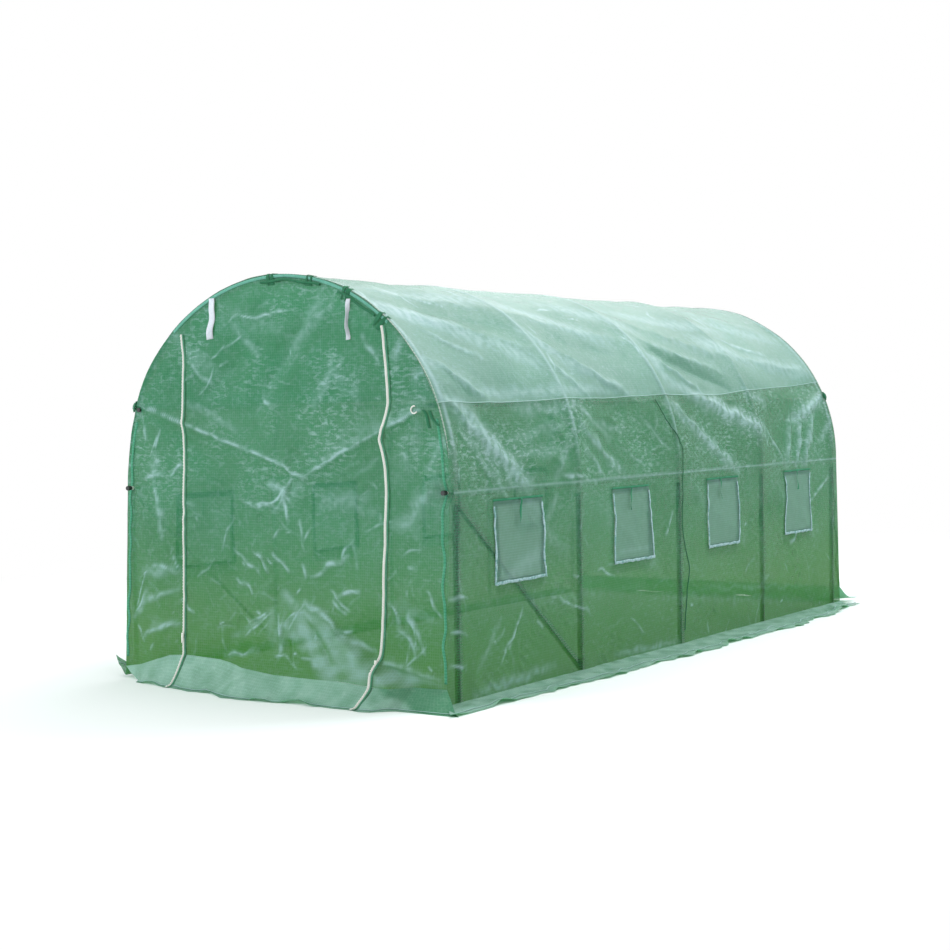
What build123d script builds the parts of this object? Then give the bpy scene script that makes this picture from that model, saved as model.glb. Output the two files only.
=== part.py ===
"""Walk-in polytunnel greenhouse: steel hoops and rails under a sewn woven-film cover.

The tunnel runs along Y with its zipped door at -Y, +Z is up, and the origin lies on the ground
at the middle of the tunnel. Sizes are in millimetres.
"""

import os
from math import atan, cos, radians, sin, sqrt, tan

from build123d import *

os.makedirs("parts", exist_ok=True)

# Tunnel
tunnel_length = 4500.0  # between the centrelines of the end hoops
tunnel_width = 2000.0  # over the cover
leg_height = 1000.0  # ground to the spring of the arch
bay_count = 4
seat_gap = 0.3  # between pieces that bear on a round tube

# Hoops
tube_diameter = 25.0
tube_sides = 12  # flats that stand for a round tube
tube_wall = 1.5
arch_straight = 90.0  # straight run of the arch tube below its spring
spigot_length = 60.0  # swaged top of a leg, inside the arch tube
socket_clearance = 4.0  # free depth above the spigot

# Rails along the tunnel
rail_diameter = 19.0
rail_end_gap = 3.0  # from a rail's cap to the end sheet
side_rail_drop = 35.0  # side rail below the spring of the arch
shoulder_angle = 22.0  # shoulder rail and cover seam above the spring, in degrees
cap_wall = 1.5
cap_length = 25.0

# Diagonal braces of the door bay
lug_thickness = 3.0
lug_width = 26.0
lug_length = 40.0
neck_length = 40.0  # from the flat lug to the round tube
brace_head_drop = 12.0  # free height between side rail and lug
brace_foot_height = 30.0

# Film cover
film = 2.0
crown_overhang = 20.0  # end sheet past the centreline of an end hoop, at the crown
foot_overhang = 110.0  # the same at the ground, because the end sheets lean outwards
cut_overrun = 50.0  # sheets are made this much longer before they are trimmed
door_width = 1220.0  # between the zip centrelines
zip_tape_width = 30.0
zip_chain_width = 10.0
zip_chain_rise = 3.0
door_tie_width = 25.0
door_tie_length = 190.0
door_tie_thickness = 2.0
door_tie_spacing = 820.0
door_tie_drop = 42.0  # below the edge of the arch

# Ground skirts: the height of the fold, the reach of the slope and the reach of the hem
side_skirt_height = 75.0
side_skirt_slope_width = 150.0
side_skirt_width = 210.0
end_skirt_height = 110.0
end_skirt_slope_width = 130.0
end_skirt_width = 160.0

# Windows
window_width = 380.0
window_height = 350.0
window_drop = 80.0  # window opening below the side rail
net_margin = 30.0  # net past the sides of the opening
net_hem = 70.0  # net past the bottom of the opening
net_thickness = 1.0
flap_margin = 20.0
flap_head = 30.0  # flap above the opening
flap_thickness = 1.5
tape_width = 22.0
tape_thickness = 1.0
flap_hem = 12.0
window_tie_width = 15.0
window_tie_length = 120.0
window_tie_thickness = 1.2

# Worked out from the sizes above
tube_radius = tube_diameter / 2
rail_radius = rail_diameter / 2
cover_radius = tunnel_width / 2
arch_radius = cover_radius - film - seat_gap - tube_radius
joint_height = leg_height - arch_straight
socket_radius = tube_radius - tube_wall
spigot_radius = socket_radius - seat_gap
bay_length = tunnel_length / bay_count
hoop_places = [bay_length * i - tunnel_length / 2 for i in range(bay_count + 1)]
bay_places = [y + bay_length / 2 for y in hoop_places[:-1]]

rail_arc_radius = arch_radius - tube_radius - seat_gap - rail_radius
side_rail_height = leg_height - side_rail_drop
shoulder_x = rail_arc_radius * cos(radians(shoulder_angle))
shoulder_z = leg_height + rail_arc_radius * sin(radians(shoulder_angle))
capped_places = {
    "left_shoulder_rail": (-shoulder_x, shoulder_z),
    "right_shoulder_rail": (shoulder_x, shoulder_z),
    "left_side_rail": (-rail_arc_radius, side_rail_height),
    "right_side_rail": (rail_arc_radius, side_rail_height),
}

crest_height = leg_height + cover_radius
hoop_reach = tunnel_length / 2
cover_reach = hoop_reach + foot_overhang + cut_overrun
lean = atan((foot_overhang - crown_overhang) / crest_height)
film_depth = film / cos(lean)  # of an end sheet, level along the tunnel
end_planes = {
    end: Plane(
        (0, end * (hoop_reach + foot_overhang), 0),
        x_dir=(-end, 0, 0),
        z_dir=(0, end * cos(lean), sin(lean)),
    )
    for end in (-1, 1)
}
window_top = side_rail_height - window_drop
window_bottom = window_top - window_height


def end_reach(height):
    """Distance from the tunnel's middle to the inner face of an end sheet."""
    return hoop_reach + foot_overhang - height * tan(lean)


def capped_half_length(place):
    """Half the length of a rail whose caps stop just short of the end sheets."""
    cap_top = place[1] + rail_radius + seat_gap + cap_wall
    return end_reach(cap_top) - rail_end_gap - cap_wall


def save(part, name):
    part.label = name
    export_step(part, f"parts/{name}.step")


def make_arch(number, y):
    """One bent tube from leg to leg, with a straight run and a socket at each end."""
    with BuildPart() as arch:
        with BuildLine(Plane.XZ.offset(-y)) as arch_line:
            Line((arch_radius, joint_height), (arch_radius, leg_height))
            crown = CenterArc((0, leg_height), arch_radius, 0, 180)
            Line(crown @ 1, (-arch_radius, joint_height))
        with BuildSketch(Plane(arch_line.wire() @ 0, z_dir=arch_line.wire() % 0)):
            RegularPolygon(tube_radius, tube_sides)
        sweep(path=arch_line.wire())
        with BuildSketch(Plane.XY.offset(joint_height)):
            with Locations((-arch_radius, y), (arch_radius, y)):
                RegularPolygon(socket_radius, tube_sides)
        extrude(amount=spigot_length + socket_clearance, mode=Mode.SUBTRACT)
    save(arch.part, f"arch_{number}")


def make_legs(name, side):
    """Straight posts of one side, each with a swaged spigot on top."""
    leg_places = [(side * arch_radius, y) for y in hoop_places]
    with BuildPart() as legs:
        with BuildSketch(Plane.XY):
            with Locations(*leg_places):
                RegularPolygon(tube_radius, tube_sides)
        extrude(amount=joint_height)
        with BuildSketch(Plane.XY.offset(joint_height)):
            with Locations(*leg_places):
                RegularPolygon(spigot_radius, tube_sides)
        extrude(amount=spigot_length)
    save(legs.part, name)


def make_rail(name, place, half_length):
    """One tube along the tunnel, under the hoops."""
    with BuildPart() as rail:
        with BuildSketch(Plane.XZ):
            with Locations(place):
                RegularPolygon(rail_radius, tube_sides)
        extrude(amount=half_length, both=True)
    save(rail.part, name)


def make_rail_caps(name, end):
    """Push-on cups that close the rail ends at one end of the tunnel."""
    with BuildPart() as caps:
        for place in capped_places.values():
            half_length = capped_half_length(place)
            with BuildSketch(Plane.XZ.offset(-end * (half_length + cap_wall))):
                with Locations(place):
                    RegularPolygon(rail_radius + seat_gap + cap_wall, tube_sides)
            extrude(amount=end * cap_length)
            with BuildSketch(Plane.XZ.offset(-end * half_length)):
                with Locations(place):
                    RegularPolygon(rail_radius + seat_gap, tube_sides)
            extrude(amount=end * cap_length, mode=Mode.SUBTRACT)
    save(caps.part, name)


def make_brace(name, side):
    """Diagonal tube of the door bay, flattened to a bolting lug at both ends."""
    brace_x = side * (arch_radius - tube_radius - seat_gap - lug_thickness / 2)
    head_height = side_rail_height - rail_radius - brace_head_drop - lug_width / 2
    foot = Vector(brace_x, hoop_places[1], brace_foot_height)
    head = Vector(brace_x, hoop_places[0], head_height)
    tube_start = lug_length + neck_length
    ends = [
        Plane(foot, x_dir=(1, 0, 0), z_dir=head - foot),
        Plane(head, x_dir=(1, 0, 0), z_dir=foot - head),
    ]
    with BuildPart() as brace:
        with BuildSketch(ends[0].offset(tube_start)):
            RegularPolygon(rail_radius, tube_sides)
        extrude(amount=(head - foot).length - 2 * tube_start)
        for end in ends:
            with BuildSketch(end.offset(lug_length)):
                Rectangle(lug_thickness, lug_width)
            with BuildSketch(end.offset(tube_start)):
                RegularPolygon(rail_radius, tube_sides)
            loft(ruled=True)
            with BuildSketch(end):
                Rectangle(lug_thickness, lug_width)
            extrude(amount=lug_length)
            with BuildSketch(Plane(end.origin, z_dir=(1, 0, 0))):
                RegularPolygon(lug_width / 2, tube_sides)
            extrude(amount=lug_thickness / 2, both=True)
    save(brace.part, name)


def make_roof_cover():
    """Curved sheet between the two shoulder seams."""
    with BuildPart() as roof_cover:
        with BuildSketch(Plane.XZ):
            with BuildLine():
                sweep_angle = 180 - 2 * shoulder_angle
                outer = CenterArc((0, leg_height), cover_radius, shoulder_angle, sweep_angle)
                inner = CenterArc((0, leg_height), cover_radius - film, shoulder_angle, sweep_angle)
                Line(outer @ 0, inner @ 0)
                Line(outer @ 1, inner @ 1)
            make_face()
        extrude(amount=cover_reach, both=True)
        for plane in end_planes.values():
            split(bisect_by=plane, keep=Keep.BOTTOM)
    save(roof_cover.part, "roof_cover")


def make_wall_covers():
    """Side sheets from the skirt fold to the shoulder seam, with the window openings."""
    window_middle = (window_top + window_bottom) / 2
    with BuildPart() as right_wall:
        with BuildSketch(Plane.XZ):
            with BuildLine():
                outer_wall = Line((cover_radius, side_skirt_height), (cover_radius, leg_height))
                inner_face = cover_radius - film
                inner_wall = Line((inner_face, side_skirt_height), (inner_face, leg_height))
                outer_bend = CenterArc((0, leg_height), cover_radius, 0, shoulder_angle)
                inner_bend = CenterArc((0, leg_height), inner_face, 0, shoulder_angle)
                Line(outer_wall @ 0, inner_wall @ 0)
                Line(outer_bend @ 1, inner_bend @ 1)
            make_face()
        extrude(amount=cover_reach, both=True)
        for plane in end_planes.values():
            split(bisect_by=plane, keep=Keep.BOTTOM)
        with BuildSketch(Plane.YZ.offset(cover_radius - film)):
            with Locations(*[(y, window_middle) for y in bay_places]):
                Rectangle(window_width, window_height)
        extrude(amount=film, mode=Mode.SUBTRACT)
    with BuildPart() as left_wall:
        mirror(right_wall.part, about=Plane.YZ)
    save(right_wall.part, "right_wall_cover")
    save(left_wall.part, "left_wall_cover")


def make_end_sheet(end, left, right):
    """Leaning sheet across an end of the tunnel, between two upright edges."""
    with BuildPart() as sheet:
        with BuildSketch(Plane.XZ.offset(-end * hoop_reach)):
            with BuildLine():
                crown = CenterArc((0, leg_height), cover_radius, 0, 180)
                sill = Line((-cover_radius, end_skirt_height), (cover_radius, end_skirt_height))
                Line(crown @ 0, sill @ 1)
                Line(crown @ 1, sill @ 0)
            make_face()
            with Locations(((left + right) / 2, 0)):
                Rectangle(right - left, 2 * crest_height, mode=Mode.INTERSECT)
        extrude(amount=-end * (foot_overhang + cut_overrun))
        split(bisect_by=end_planes[end], keep=Keep.TOP)
        split(bisect_by=end_planes[end].offset(film), keep=Keep.BOTTOM)
    return sheet.part


def make_zip(name, side):
    """Zip tape between a front panel and the door, with its raised chain."""
    centre = side * door_width / 2
    tape_half = zip_tape_width / 2
    chain_foot = end_skirt_height / cos(lean)
    chain_top = (leg_height + sqrt(cover_radius**2 - (door_width / 2 + tape_half) ** 2)) / cos(lean)
    with BuildPart() as zip_line:
        add(make_end_sheet(-1, centre - tape_half, centre + tape_half))
        with BuildSketch(end_planes[-1].offset(film)):
            with Locations((centre, (chain_foot + chain_top) / 2)):
                Rectangle(zip_chain_width, chain_top - chain_foot)
        extrude(amount=zip_chain_rise)
    save(zip_line.part, name)


def make_door_ties():
    """Two straps that hold the door when it is rolled up."""
    tie_x = door_tie_spacing / 2
    tie_top = (leg_height + sqrt(cover_radius**2 - tie_x**2) - door_tie_drop) / cos(lean)
    with BuildPart() as ties:
        with BuildSketch(end_planes[-1].offset(film)):
            with Locations((-tie_x, tie_top), (tie_x, tie_top)):
                Rectangle(door_tie_width, door_tie_length, align=(Align.CENTER, Align.MAX))
        extrude(amount=door_tie_thickness)
    save(ties.part, "door_ties")


def skirt_corners(wall_face, depth, height, slope_width, width):
    """Corners of the bent strip from a wall's fold to the hem, as distance outwards and height."""
    top_slope = (slope_width + depth) * (height - film) / height
    return [
        (wall_face - depth, height),
        (wall_face + slope_width, 0),
        (wall_face + width, 0),
        (wall_face + width, film),
        (wall_face + top_slope, film),
        (wall_face, height),
    ]


def make_skirts():
    """Ground flaps along the four walls, open at the corners."""
    side_corners = skirt_corners(
        cover_radius, film, side_skirt_height, side_skirt_slope_width, side_skirt_width
    )
    end_face = end_reach(end_skirt_height) + film_depth
    end_corners = skirt_corners(
        end_face, film_depth, end_skirt_height, end_skirt_slope_width, end_skirt_width
    )
    with BuildPart() as right_skirt:
        with BuildSketch(Plane.XZ):
            with BuildLine():
                Polyline(*side_corners, close=True)
            make_face()
        extrude(amount=end_reach(side_skirt_height), both=True)
    with BuildPart() as left_skirt:
        mirror(right_skirt.part, about=Plane.YZ)
    with BuildPart() as back_skirt:
        with BuildSketch(Plane.YZ):
            with BuildLine():
                Polyline(*end_corners, close=True)
            make_face()
        extrude(amount=cover_radius, both=True)
    with BuildPart() as front_skirt:
        mirror(back_skirt.part, about=Plane.XZ)
    save(right_skirt.part, "right_skirt")
    save(left_skirt.part, "left_skirt")
    save(back_skirt.part, "back_skirt")
    save(front_skirt.part, "front_skirt")


def make_window_nets():
    """Insect nets behind the window openings of both walls."""
    net_height = window_height + net_margin + net_hem
    net_middle = window_top + net_margin - net_height / 2
    with BuildPart() as right_nets:
        with BuildSketch(Plane.YZ.offset(cover_radius - film)):
            with Locations(*[(y, net_middle) for y in bay_places]):
                Rectangle(window_width + 2 * net_margin, net_height)
        extrude(amount=-net_thickness)
    with BuildPart() as left_nets:
        mirror(right_nets.part, about=Plane.YZ)
    save(right_nets.part, "right_window_nets")
    save(left_nets.part, "left_window_nets")


def make_window_flap(number, y):
    """Roll-up flap over one window on each side, with hook tape on three edges and a sewn head."""
    flap_width = window_width + 2 * flap_margin
    flap_top = window_top + flap_head
    flap_height = flap_head + window_height + flap_margin
    flap_middle = flap_top - flap_height / 2
    inner_height = flap_height - flap_hem - tape_width
    with BuildPart() as right_flap:
        with BuildSketch(Plane.YZ.offset(cover_radius)):
            with Locations((y, flap_middle)):
                Rectangle(flap_width, flap_height)
        extrude(amount=flap_thickness)
        with BuildSketch(Plane.YZ.offset(cover_radius + flap_thickness)):
            with Locations((y, flap_middle)):
                Rectangle(flap_width, flap_height)
            with Locations((y, flap_top - flap_hem - inner_height / 2)):
                Rectangle(flap_width - 2 * tape_width, inner_height, mode=Mode.SUBTRACT)
        extrude(amount=tape_thickness)
    with BuildPart() as left_flap:
        mirror(right_flap.part, about=Plane.YZ)
    save(right_flap.part, f"right_window_flap_{number}")
    save(left_flap.part, f"left_window_flap_{number}")


def make_window_ties():
    """Straps under the heads of the window flaps."""
    tie_top = window_top + flap_head - flap_hem
    with BuildPart() as right_ties:
        with BuildSketch(Plane.YZ.offset(cover_radius + flap_thickness)):
            with Locations(*[(y, tie_top) for y in bay_places]):
                Rectangle(window_tie_width, window_tie_length, align=(Align.CENTER, Align.MAX))
        extrude(amount=window_tie_thickness)
    with BuildPart() as left_ties:
        mirror(right_ties.part, about=Plane.YZ)
    save(right_ties.part, "right_window_ties")
    save(left_ties.part, "left_window_ties")


# Frame
for number, y in enumerate(hoop_places, 1):
    make_arch(number, y)
make_legs("left_legs", -1)
make_legs("right_legs", 1)
make_rail("ridge_rail", (0, leg_height + rail_arc_radius), hoop_reach + tube_radius)
for name, place in capped_places.items():
    make_rail(name, place, capped_half_length(place))
make_rail_caps("front_rail_caps", -1)
make_rail_caps("back_rail_caps", 1)
make_brace("left_brace", -1)
make_brace("right_brace", 1)

# Cover
make_roof_cover()
make_wall_covers()
door_edge = door_width / 2 - zip_tape_width / 2
panel_edge = door_width / 2 + zip_tape_width / 2
save(make_end_sheet(-1, -cover_radius, -panel_edge), "front_left_panel")
save(make_end_sheet(-1, -door_edge, door_edge), "front_door")
save(make_end_sheet(-1, panel_edge, cover_radius), "front_right_panel")
save(make_end_sheet(1, -cover_radius, cover_radius), "back_panel")
make_zip("left_zip", -1)
make_zip("right_zip", 1)
make_door_ties()
make_skirts()

# Windows
make_window_nets()
for number, y in enumerate(bay_places, 1):
    make_window_flap(number, y)
make_window_ties()
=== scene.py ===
import math
import bpy
import numpy as np
from mathutils import Matrix, Vector


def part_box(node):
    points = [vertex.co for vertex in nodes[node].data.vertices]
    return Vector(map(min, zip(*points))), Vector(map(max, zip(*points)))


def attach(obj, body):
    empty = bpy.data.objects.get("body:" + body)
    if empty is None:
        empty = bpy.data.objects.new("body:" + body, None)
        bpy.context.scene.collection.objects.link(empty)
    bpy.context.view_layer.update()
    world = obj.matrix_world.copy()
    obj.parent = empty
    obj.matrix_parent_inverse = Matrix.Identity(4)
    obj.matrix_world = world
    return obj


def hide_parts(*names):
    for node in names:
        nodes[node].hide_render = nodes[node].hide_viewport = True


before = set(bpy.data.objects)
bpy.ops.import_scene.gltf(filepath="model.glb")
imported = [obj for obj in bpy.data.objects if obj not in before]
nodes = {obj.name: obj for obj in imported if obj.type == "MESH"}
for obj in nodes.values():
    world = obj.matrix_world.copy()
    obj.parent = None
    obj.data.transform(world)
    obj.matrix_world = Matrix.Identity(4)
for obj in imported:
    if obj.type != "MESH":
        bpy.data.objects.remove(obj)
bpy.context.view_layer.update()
print("frame loaded:", len(nodes), "nodes")

# places read from the frame, in metres
archBoxes = [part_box(f"arch_{i}") for i in range(1, 6)]
hoopYs = [(low.y + high.y) / 2 for low, high in archBoxes]
bayLength = hoopYs[1] - hoopYs[0]
bayMiddles = [(a + b) / 2 for a, b in zip(hoopYs, hoopYs[1:])]
tubeRadius = (archBoxes[0][1].y - archBoxes[0][0].y) / 2
hoopReach = archBoxes[0][1].x  # outside of the hoop tube
springZ = archBoxes[0][1].z - hoopReach  # where the legs turn into the arch
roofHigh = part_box("roof_cover")[1]
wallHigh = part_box("right_wall_cover")[1]
doorLow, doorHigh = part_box("front_door")
filmHalf = 0.001
coverRadius = roofHigh.z - springZ - filmHalf  # middle of the film over the hoops
quarterArc = coverRadius * math.pi / 2
shoulderArc = coverRadius * math.acos((wallHigh.z - springZ) / coverRadius)
footZ = 0.012  # the walls hang down to the ground
footArc = quarterArc + springZ - footZ
railLow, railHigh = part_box("right_side_rail")
railRadius = (railHigh.z - railLow.z) / 2
railReach = railHigh.x  # outside of every rail, from the arch centre
railArc = quarterArc + springZ - (railLow.z + railHigh.z) / 2
lean = (doorHigh.y - doorLow.y) / (doorHigh.z - doorLow.z)


# climbs from 0 to 1 over a run, or falls from 1 to 0 before an end
def rise(x, start, run):
    return np.clip((x - start) / run, 0, 1)


def fall(x, end, run):
    return np.clip((end - x) / run, 0, 1)


def bell(off):
    return np.exp(-off ** 2)


# a value listed at a few places, read between them
def between(x, places):
    return np.interp(x, *zip(*places))


# length along a path at each of its points
def runLengths(path):
    return np.concatenate([[0], np.cumsum(np.linalg.norm(np.diff(path, axis=0), axis=1))])


# the seam between roof and walls starts at the shoulder rail and climbs towards the back;
# each (y, degrees from the top)
seamTurn = ((-2.4, 68.2), (-1.1, 67.3), (0.0, 66.2), (0.64, 66.4), (1.12, 64.8), (1.65, 63.4), (2.4, 61.4))


def seamArc(y):
    return coverRadius * np.radians(between(y, seamTurn))


# how far the leaning end sheets stand from the middle at a height
def endReach(z):
    return -doorLow.y - lean * (z - doorLow.z)


# the left side of the front is drawn in to its leg, the right side only round the rail cap
corner = {
    "leftIn": 0.045, "leftFrom": 0.7, "leftRun": 0.25, "leftTop": 1.75, "leftFade": 0.6,
    "rightIn": 0.04, "rightFrom": 0.88, "rightRun": 0.08, "rightZ": 0.965, "rightHalf": 0.045,
    "hoopClear": 0.004,
}


def cornerDraw(x, z):
    left = corner["leftIn"] * rise(-x, corner["leftFrom"], corner["leftRun"]) ** 2
    left = left * fall(z, corner["leftTop"], corner["leftFade"])
    right = corner["rightIn"] * rise(x, corner["rightFrom"], corner["rightRun"])
    right = right * bell((z - corner["rightZ"]) / corner["rightHalf"])
    room = endReach(z) + archBoxes[0][0].y - corner["hoopClear"]
    return np.minimum(left + right, np.maximum(room, 0))


# node maths: a socket that takes part in Python expressions
class Value:
    def __init__(self, bench, socket):
        self.bench = bench
        self.socket = socket

    def math(self, operation, *others):
        inputs = {i: item for i, item in enumerate((self, *others))}
        return self.bench.node("Math", {"operation": operation}, inputs)

    def __add__(self, other):
        return self.math("ADD", other)

    __radd__ = __add__

    def __mul__(self, other):
        return self.math("MULTIPLY", other)

    __rmul__ = __mul__

    def __sub__(self, other):
        return self.math("SUBTRACT", other)

    def __rsub__(self, other):
        return self * -1 + other

    def __pow__(self, other):
        return self.math("POWER", other)

    def __abs__(self):
        return self.math("ABSOLUTE")


class Bench:
    def __init__(self, owner):
        owner.use_nodes = True
        self.tree = owner.node_tree
        self.tree.nodes.clear()

    # one node by type, its settings first, then the values or links of its sockets
    def node(self, kind, settings=None, inputs=None, output=0):
        made = self.tree.nodes.new("ShaderNode" + kind)
        for name, setting in (settings or {}).items():
            if name == "stops":
                for element, (place, colour) in zip(made.color_ramp.elements, setting):
                    element.position, element.color = place, colour
            else:
                setattr(made, name, setting)
        for name, item in (inputs or {}).items():
            if isinstance(item, Value):
                self.tree.links.new(item.socket, made.inputs[name])
            else:
                made.inputs[name].default_value = item
        return Value(self, made.outputs[output]) if len(made.outputs) else made

    def mixColour(self, share, first, second):
        return self.node("Mix", {"data_type": "RGBA"}, {0: share, 6: first, 7: second}, 2)

    # 0 below low, 1 above high, smooth between
    def step(self, item, low, high):
        settings = {"interpolation_type": "SMOOTHSTEP"}
        return self.node("MapRange", settings, {0: item, 1: low, 2: high, 3: 0.0, 4: 1.0})

    def noise(self, place, scale, detail=3.0, roughness=0.5, distortion=0.0):
        inputs = {"Vector": place, "Scale": scale, "Detail": detail, "Roughness": roughness,
                  "Distortion": distortion}
        return self.node("TexNoise", None, inputs)

    def cloth(self):
        return self.node("UVMap", {"uv_map": "cloth"})

    def place(self):
        return self.node("TexCoord", None, None, 3)  # Object coordinates

    def mark(self, name):
        return self.node("Attribute", {"attribute_name": name}, None, 2)

    def wave(self, item, pitch):
        return (item * (2 * math.pi / pitch)).math("SINE")

    def ribs(self, item, pitch):
        return abs((item * (math.pi / pitch)).math("SINE"))

    # lines of a square mesh, 1 on a thread
    def mesh(self, u, v, pitch, low, high):
        return self.step(self.ribs(u, pitch).math("MAXIMUM", self.ribs(v, pitch)), low, high)

    def axes(self, place):
        return [self.node("SeparateXYZ", None, {0: place}, i) for i in range(3)]

    def bump(self, height, strength, distance):
        return self.node("Bump", None, {"Height": height, "Strength": strength, "Distance": distance})

    def surface(self, shader):
        self.node("OutputMaterial", None, {"Surface": shader})


def newMaterial(name):
    material = bpy.data.materials.new(name)
    return material, Bench(material)


# woven tapes under a clear skin: cloth squares, a stronger thread grid and pale crease lines; the pale colour
# is a painted sky sheen as well as stress-whitened wear; each noise has its scale, detail, roughness and
# distortion
film = {
    "green": (0.027, 0.202, 0.093, 1), "deep": (0.017, 0.16, 0.067, 1), "pale": (0.4, 0.58, 0.6, 1),
    "olive": (0.06, 0.188, 0.006, 1), "oliveTop": 0.98, "oliveShare": 0.9, "mattShare": 0.75,
    "shadow": (0.01, 0.1, 0.062, 1), "shadowShare": 0.8, "creaseShare": 0.9,
    "through": (0.06, 0.42, 0.11, 1), "throughShare": 0.22, "gloss": 1.29, "sheen": (0.76, 0.92, 1.0, 1),
    "alpha": 0.72, "threadAlpha": 0.06, "touchAlpha": 0.1, "creaseAlpha": 0.16, "roughness": 0.13,
    "tape": 0.0028, "thread": 0.0125, "relief": 0.7, "reliefDepth": 0.01,
    "clouds": (1.6, 2.0, 0.55), "scuffs": (16.0, 3.0, 0.65, 0.8), "crumples": (48.0, 4.0, 0.6, 0.6),
    "glints": (23.0, 5.0, 0.65, 0.5), "glintTurn": 0.6, "glintStretch": 2.4, "glintPatches": (3.2, 2.0),
}


def makeFilm(name, paleShare=0.0, alpha=film["alpha"], oliveShare=film["oliveShare"],
             through=film["throughShare"], glintShare=0.6, gridShare=0.07, pale=film["pale"]):
    material, b = newMaterial(name)
    cloth, place = b.cloth(), b.place()
    crease = b.mark("crease")
    touch = b.mark("touch")  # painted shade of legs, brace and rail caps right behind the film, under the roof's edge and at the wall's foot
    u, v, _ = b.axes(cloth)
    weave = b.wave(u, film["tape"]) * b.wave(v, film["tape"])  # over and under of the tapes
    threads = b.mesh(u, v, film["thread"], 0.86, 0.99)
    cloudy = b.noise(place, *film["clouds"])
    scuff = b.noise(place, *film["scuffs"])
    fine = b.noise(place, *film["crumples"])  # small leathery crumples
    height = b.axes(place)[2]
    # olive: a painted tint towards the foot, standing in for grass seen through the film
    olive = (1 - b.step(height, 0.05, film["oliveTop"])) * oliveShare
    # patches where the small crumples catch the sky, most of them high up
    slanted = b.node("Mapping", None, {"Vector": cloth, "Rotation": (0, 0, film["glintTurn"]),
                                       "Scale": (1.0, film["glintStretch"], 1.0)})
    glint = b.step(b.noise(slanted, *film["glints"]), 0.47, 0.66)
    glint = glint * b.step(b.noise(place, *film["glintPatches"]), 0.36, 0.6)
    glint = glint * (b.step(height, 0.75, 1.15) * 0.8 + 0.2)
    body = b.mixColour(b.step(cloudy, 0.3, 0.7), film["deep"], film["green"])
    body = b.mixColour(olive, body, film["olive"])
    # painted shade: the body colour darkens towards the shadow colour where the shade mark is set
    body = b.mixColour(touch * film["shadowShare"], body, film["shadow"])
    # dust and sheen: scuffs, small crumples and the thread grid, pale crease lines that are partly
    # stress-whitened wear and partly painted highlight, painted glints and a painted sky sheen (paleShare),
    # all mixed towards the pale colour
    dustAndSheen = (b.step(scuff, 0.5, 0.8) * 0.09 + b.step(fine, 0.46, 0.72) * 0.14) * (1 - olive * 0.5)
    dustAndSheen = dustAndSheen + crease * film["creaseShare"] + threads * gridShare + glint * glintShare + paleShare
    colour = b.mixColour(dustAndSheen, body, pale)
    rough = scuff * 0.14 + film["roughness"] + weave * 0.02
    clear = threads * film["threadAlpha"] + alpha + crease * film["creaseAlpha"] - touch * film["touchAlpha"]
    relief = scuff * 0.3 + fine * 0.4 + weave * 0.02 + threads * 0.02
    uneven = b.bump(relief, film["relief"], film["reliefDepth"])
    skin = b.node("BsdfPrincipled", None, {
        "Base Color": colour, "Roughness": rough, "Alpha": clear, "IOR": film["gloss"],
        "Specular Tint": film["sheen"], "Normal": uneven})
    if oliveShare:  # splashed soil takes the shine off the lower part
        matt = b.node("BsdfPrincipled", None, {
            "Base Color": colour, "Roughness": 0.8, "Alpha": clear, "Specular IOR Level": 0.0,
            "Normal": uneven})
        skin = b.node("MixShader", None, {0: olive * film["mattShare"], 1: skin, 2: matt})
    lit = [(1 - paleShare) * a + paleShare * c for a, c in zip(film["through"], pale)]
    glow = b.node("BsdfTranslucent", None, {"Color": lit})
    b.surface(b.node("MixShader", None, {0: through, 1: skin, 2: glow}))
    return material


# zinc coated tube: soft grey with crystal flecks and a few dull streaks
steel = {"light": (0.82, 0.8, 0.75, 1), "dull": (0.62, 0.61, 0.58, 1), "roughness": 0.42, "metallic": 0.3}


def makeSteel(name, shade):
    material, b = newMaterial(name)
    place = b.place()
    flecks = b.node("TexVoronoi", {"feature": "F1"}, {"Vector": place, "Scale": 140.0}, 1)
    fleck = b.node("SeparateColor", None, {0: flecks})
    dull = b.noise(place, 7.0, 5.0, 0.6)
    light, dark = ([shade * part for part in steel[key][:3]] + [1] for key in ("light", "dull"))
    colour = b.mixColour(b.step(dull, 0.42, 0.72) * 0.7 + fleck * 0.25, light, dark)
    rough = dull * 0.25 + steel["roughness"] - 0.12
    b.surface(b.node("BsdfPrincipled", None, {
        "Base Color": colour, "Roughness": rough, "Metallic": steel["metallic"],
        "Normal": b.bump(dull + fleck * 0.2, 0.15, 0.001)}))
    return material


def makePlastic(name, colour, wearAndSheen, roughness):
    material, b = newMaterial(name)
    place = b.place()
    grain = b.noise(place, 420.0, 3.0, 0.6)
    scuff = b.noise(place, 35.0, 4.0, 0.6)
    b.surface(b.node("BsdfPrincipled", None, {
        "Base Color": b.mixColour(b.step(scuff, 0.45, 0.75) * 0.6, colour, wearAndSheen),
        "Roughness": grain * 0.2 + roughness, "Normal": b.bump(grain, 0.2, 0.0006)}))
    return material


# woven tape or strap: ribs along the UV, fuzz between
def makeStrap(name, colour, shade, rib, fuzz, stitch=0.35, blotch=0.25):
    material, b = newMaterial(name)
    place = b.place()
    u, v, _ = b.axes(b.cloth())
    ribs = b.ribs(u, rib) * b.ribs(v, rib)
    fluff = b.noise(place, 260.0, 4.0, 0.7)
    soil = b.noise(place, 45.0, 4.0, 0.6)
    share = ribs * stitch + b.step(fluff, 0.4, 0.7) * fuzz + b.step(soil, 0.42, 0.68) * blotch
    b.surface(b.node("BsdfPrincipled", None, {
        "Base Color": b.mixColour(share, colour, shade), "Roughness": fluff * 0.15 + 0.72,
        "Normal": b.bump(ribs + fluff * fuzz * 2, 0.6, 0.0012)}))
    return material


# fly net: threads of a fine square mesh with holes between
net = {"thread": (0.26, 0.38, 0.3, 1), "shine": (0.52, 0.6, 0.52, 1), "pitch": 0.0045, "hole": 0.12}


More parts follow.
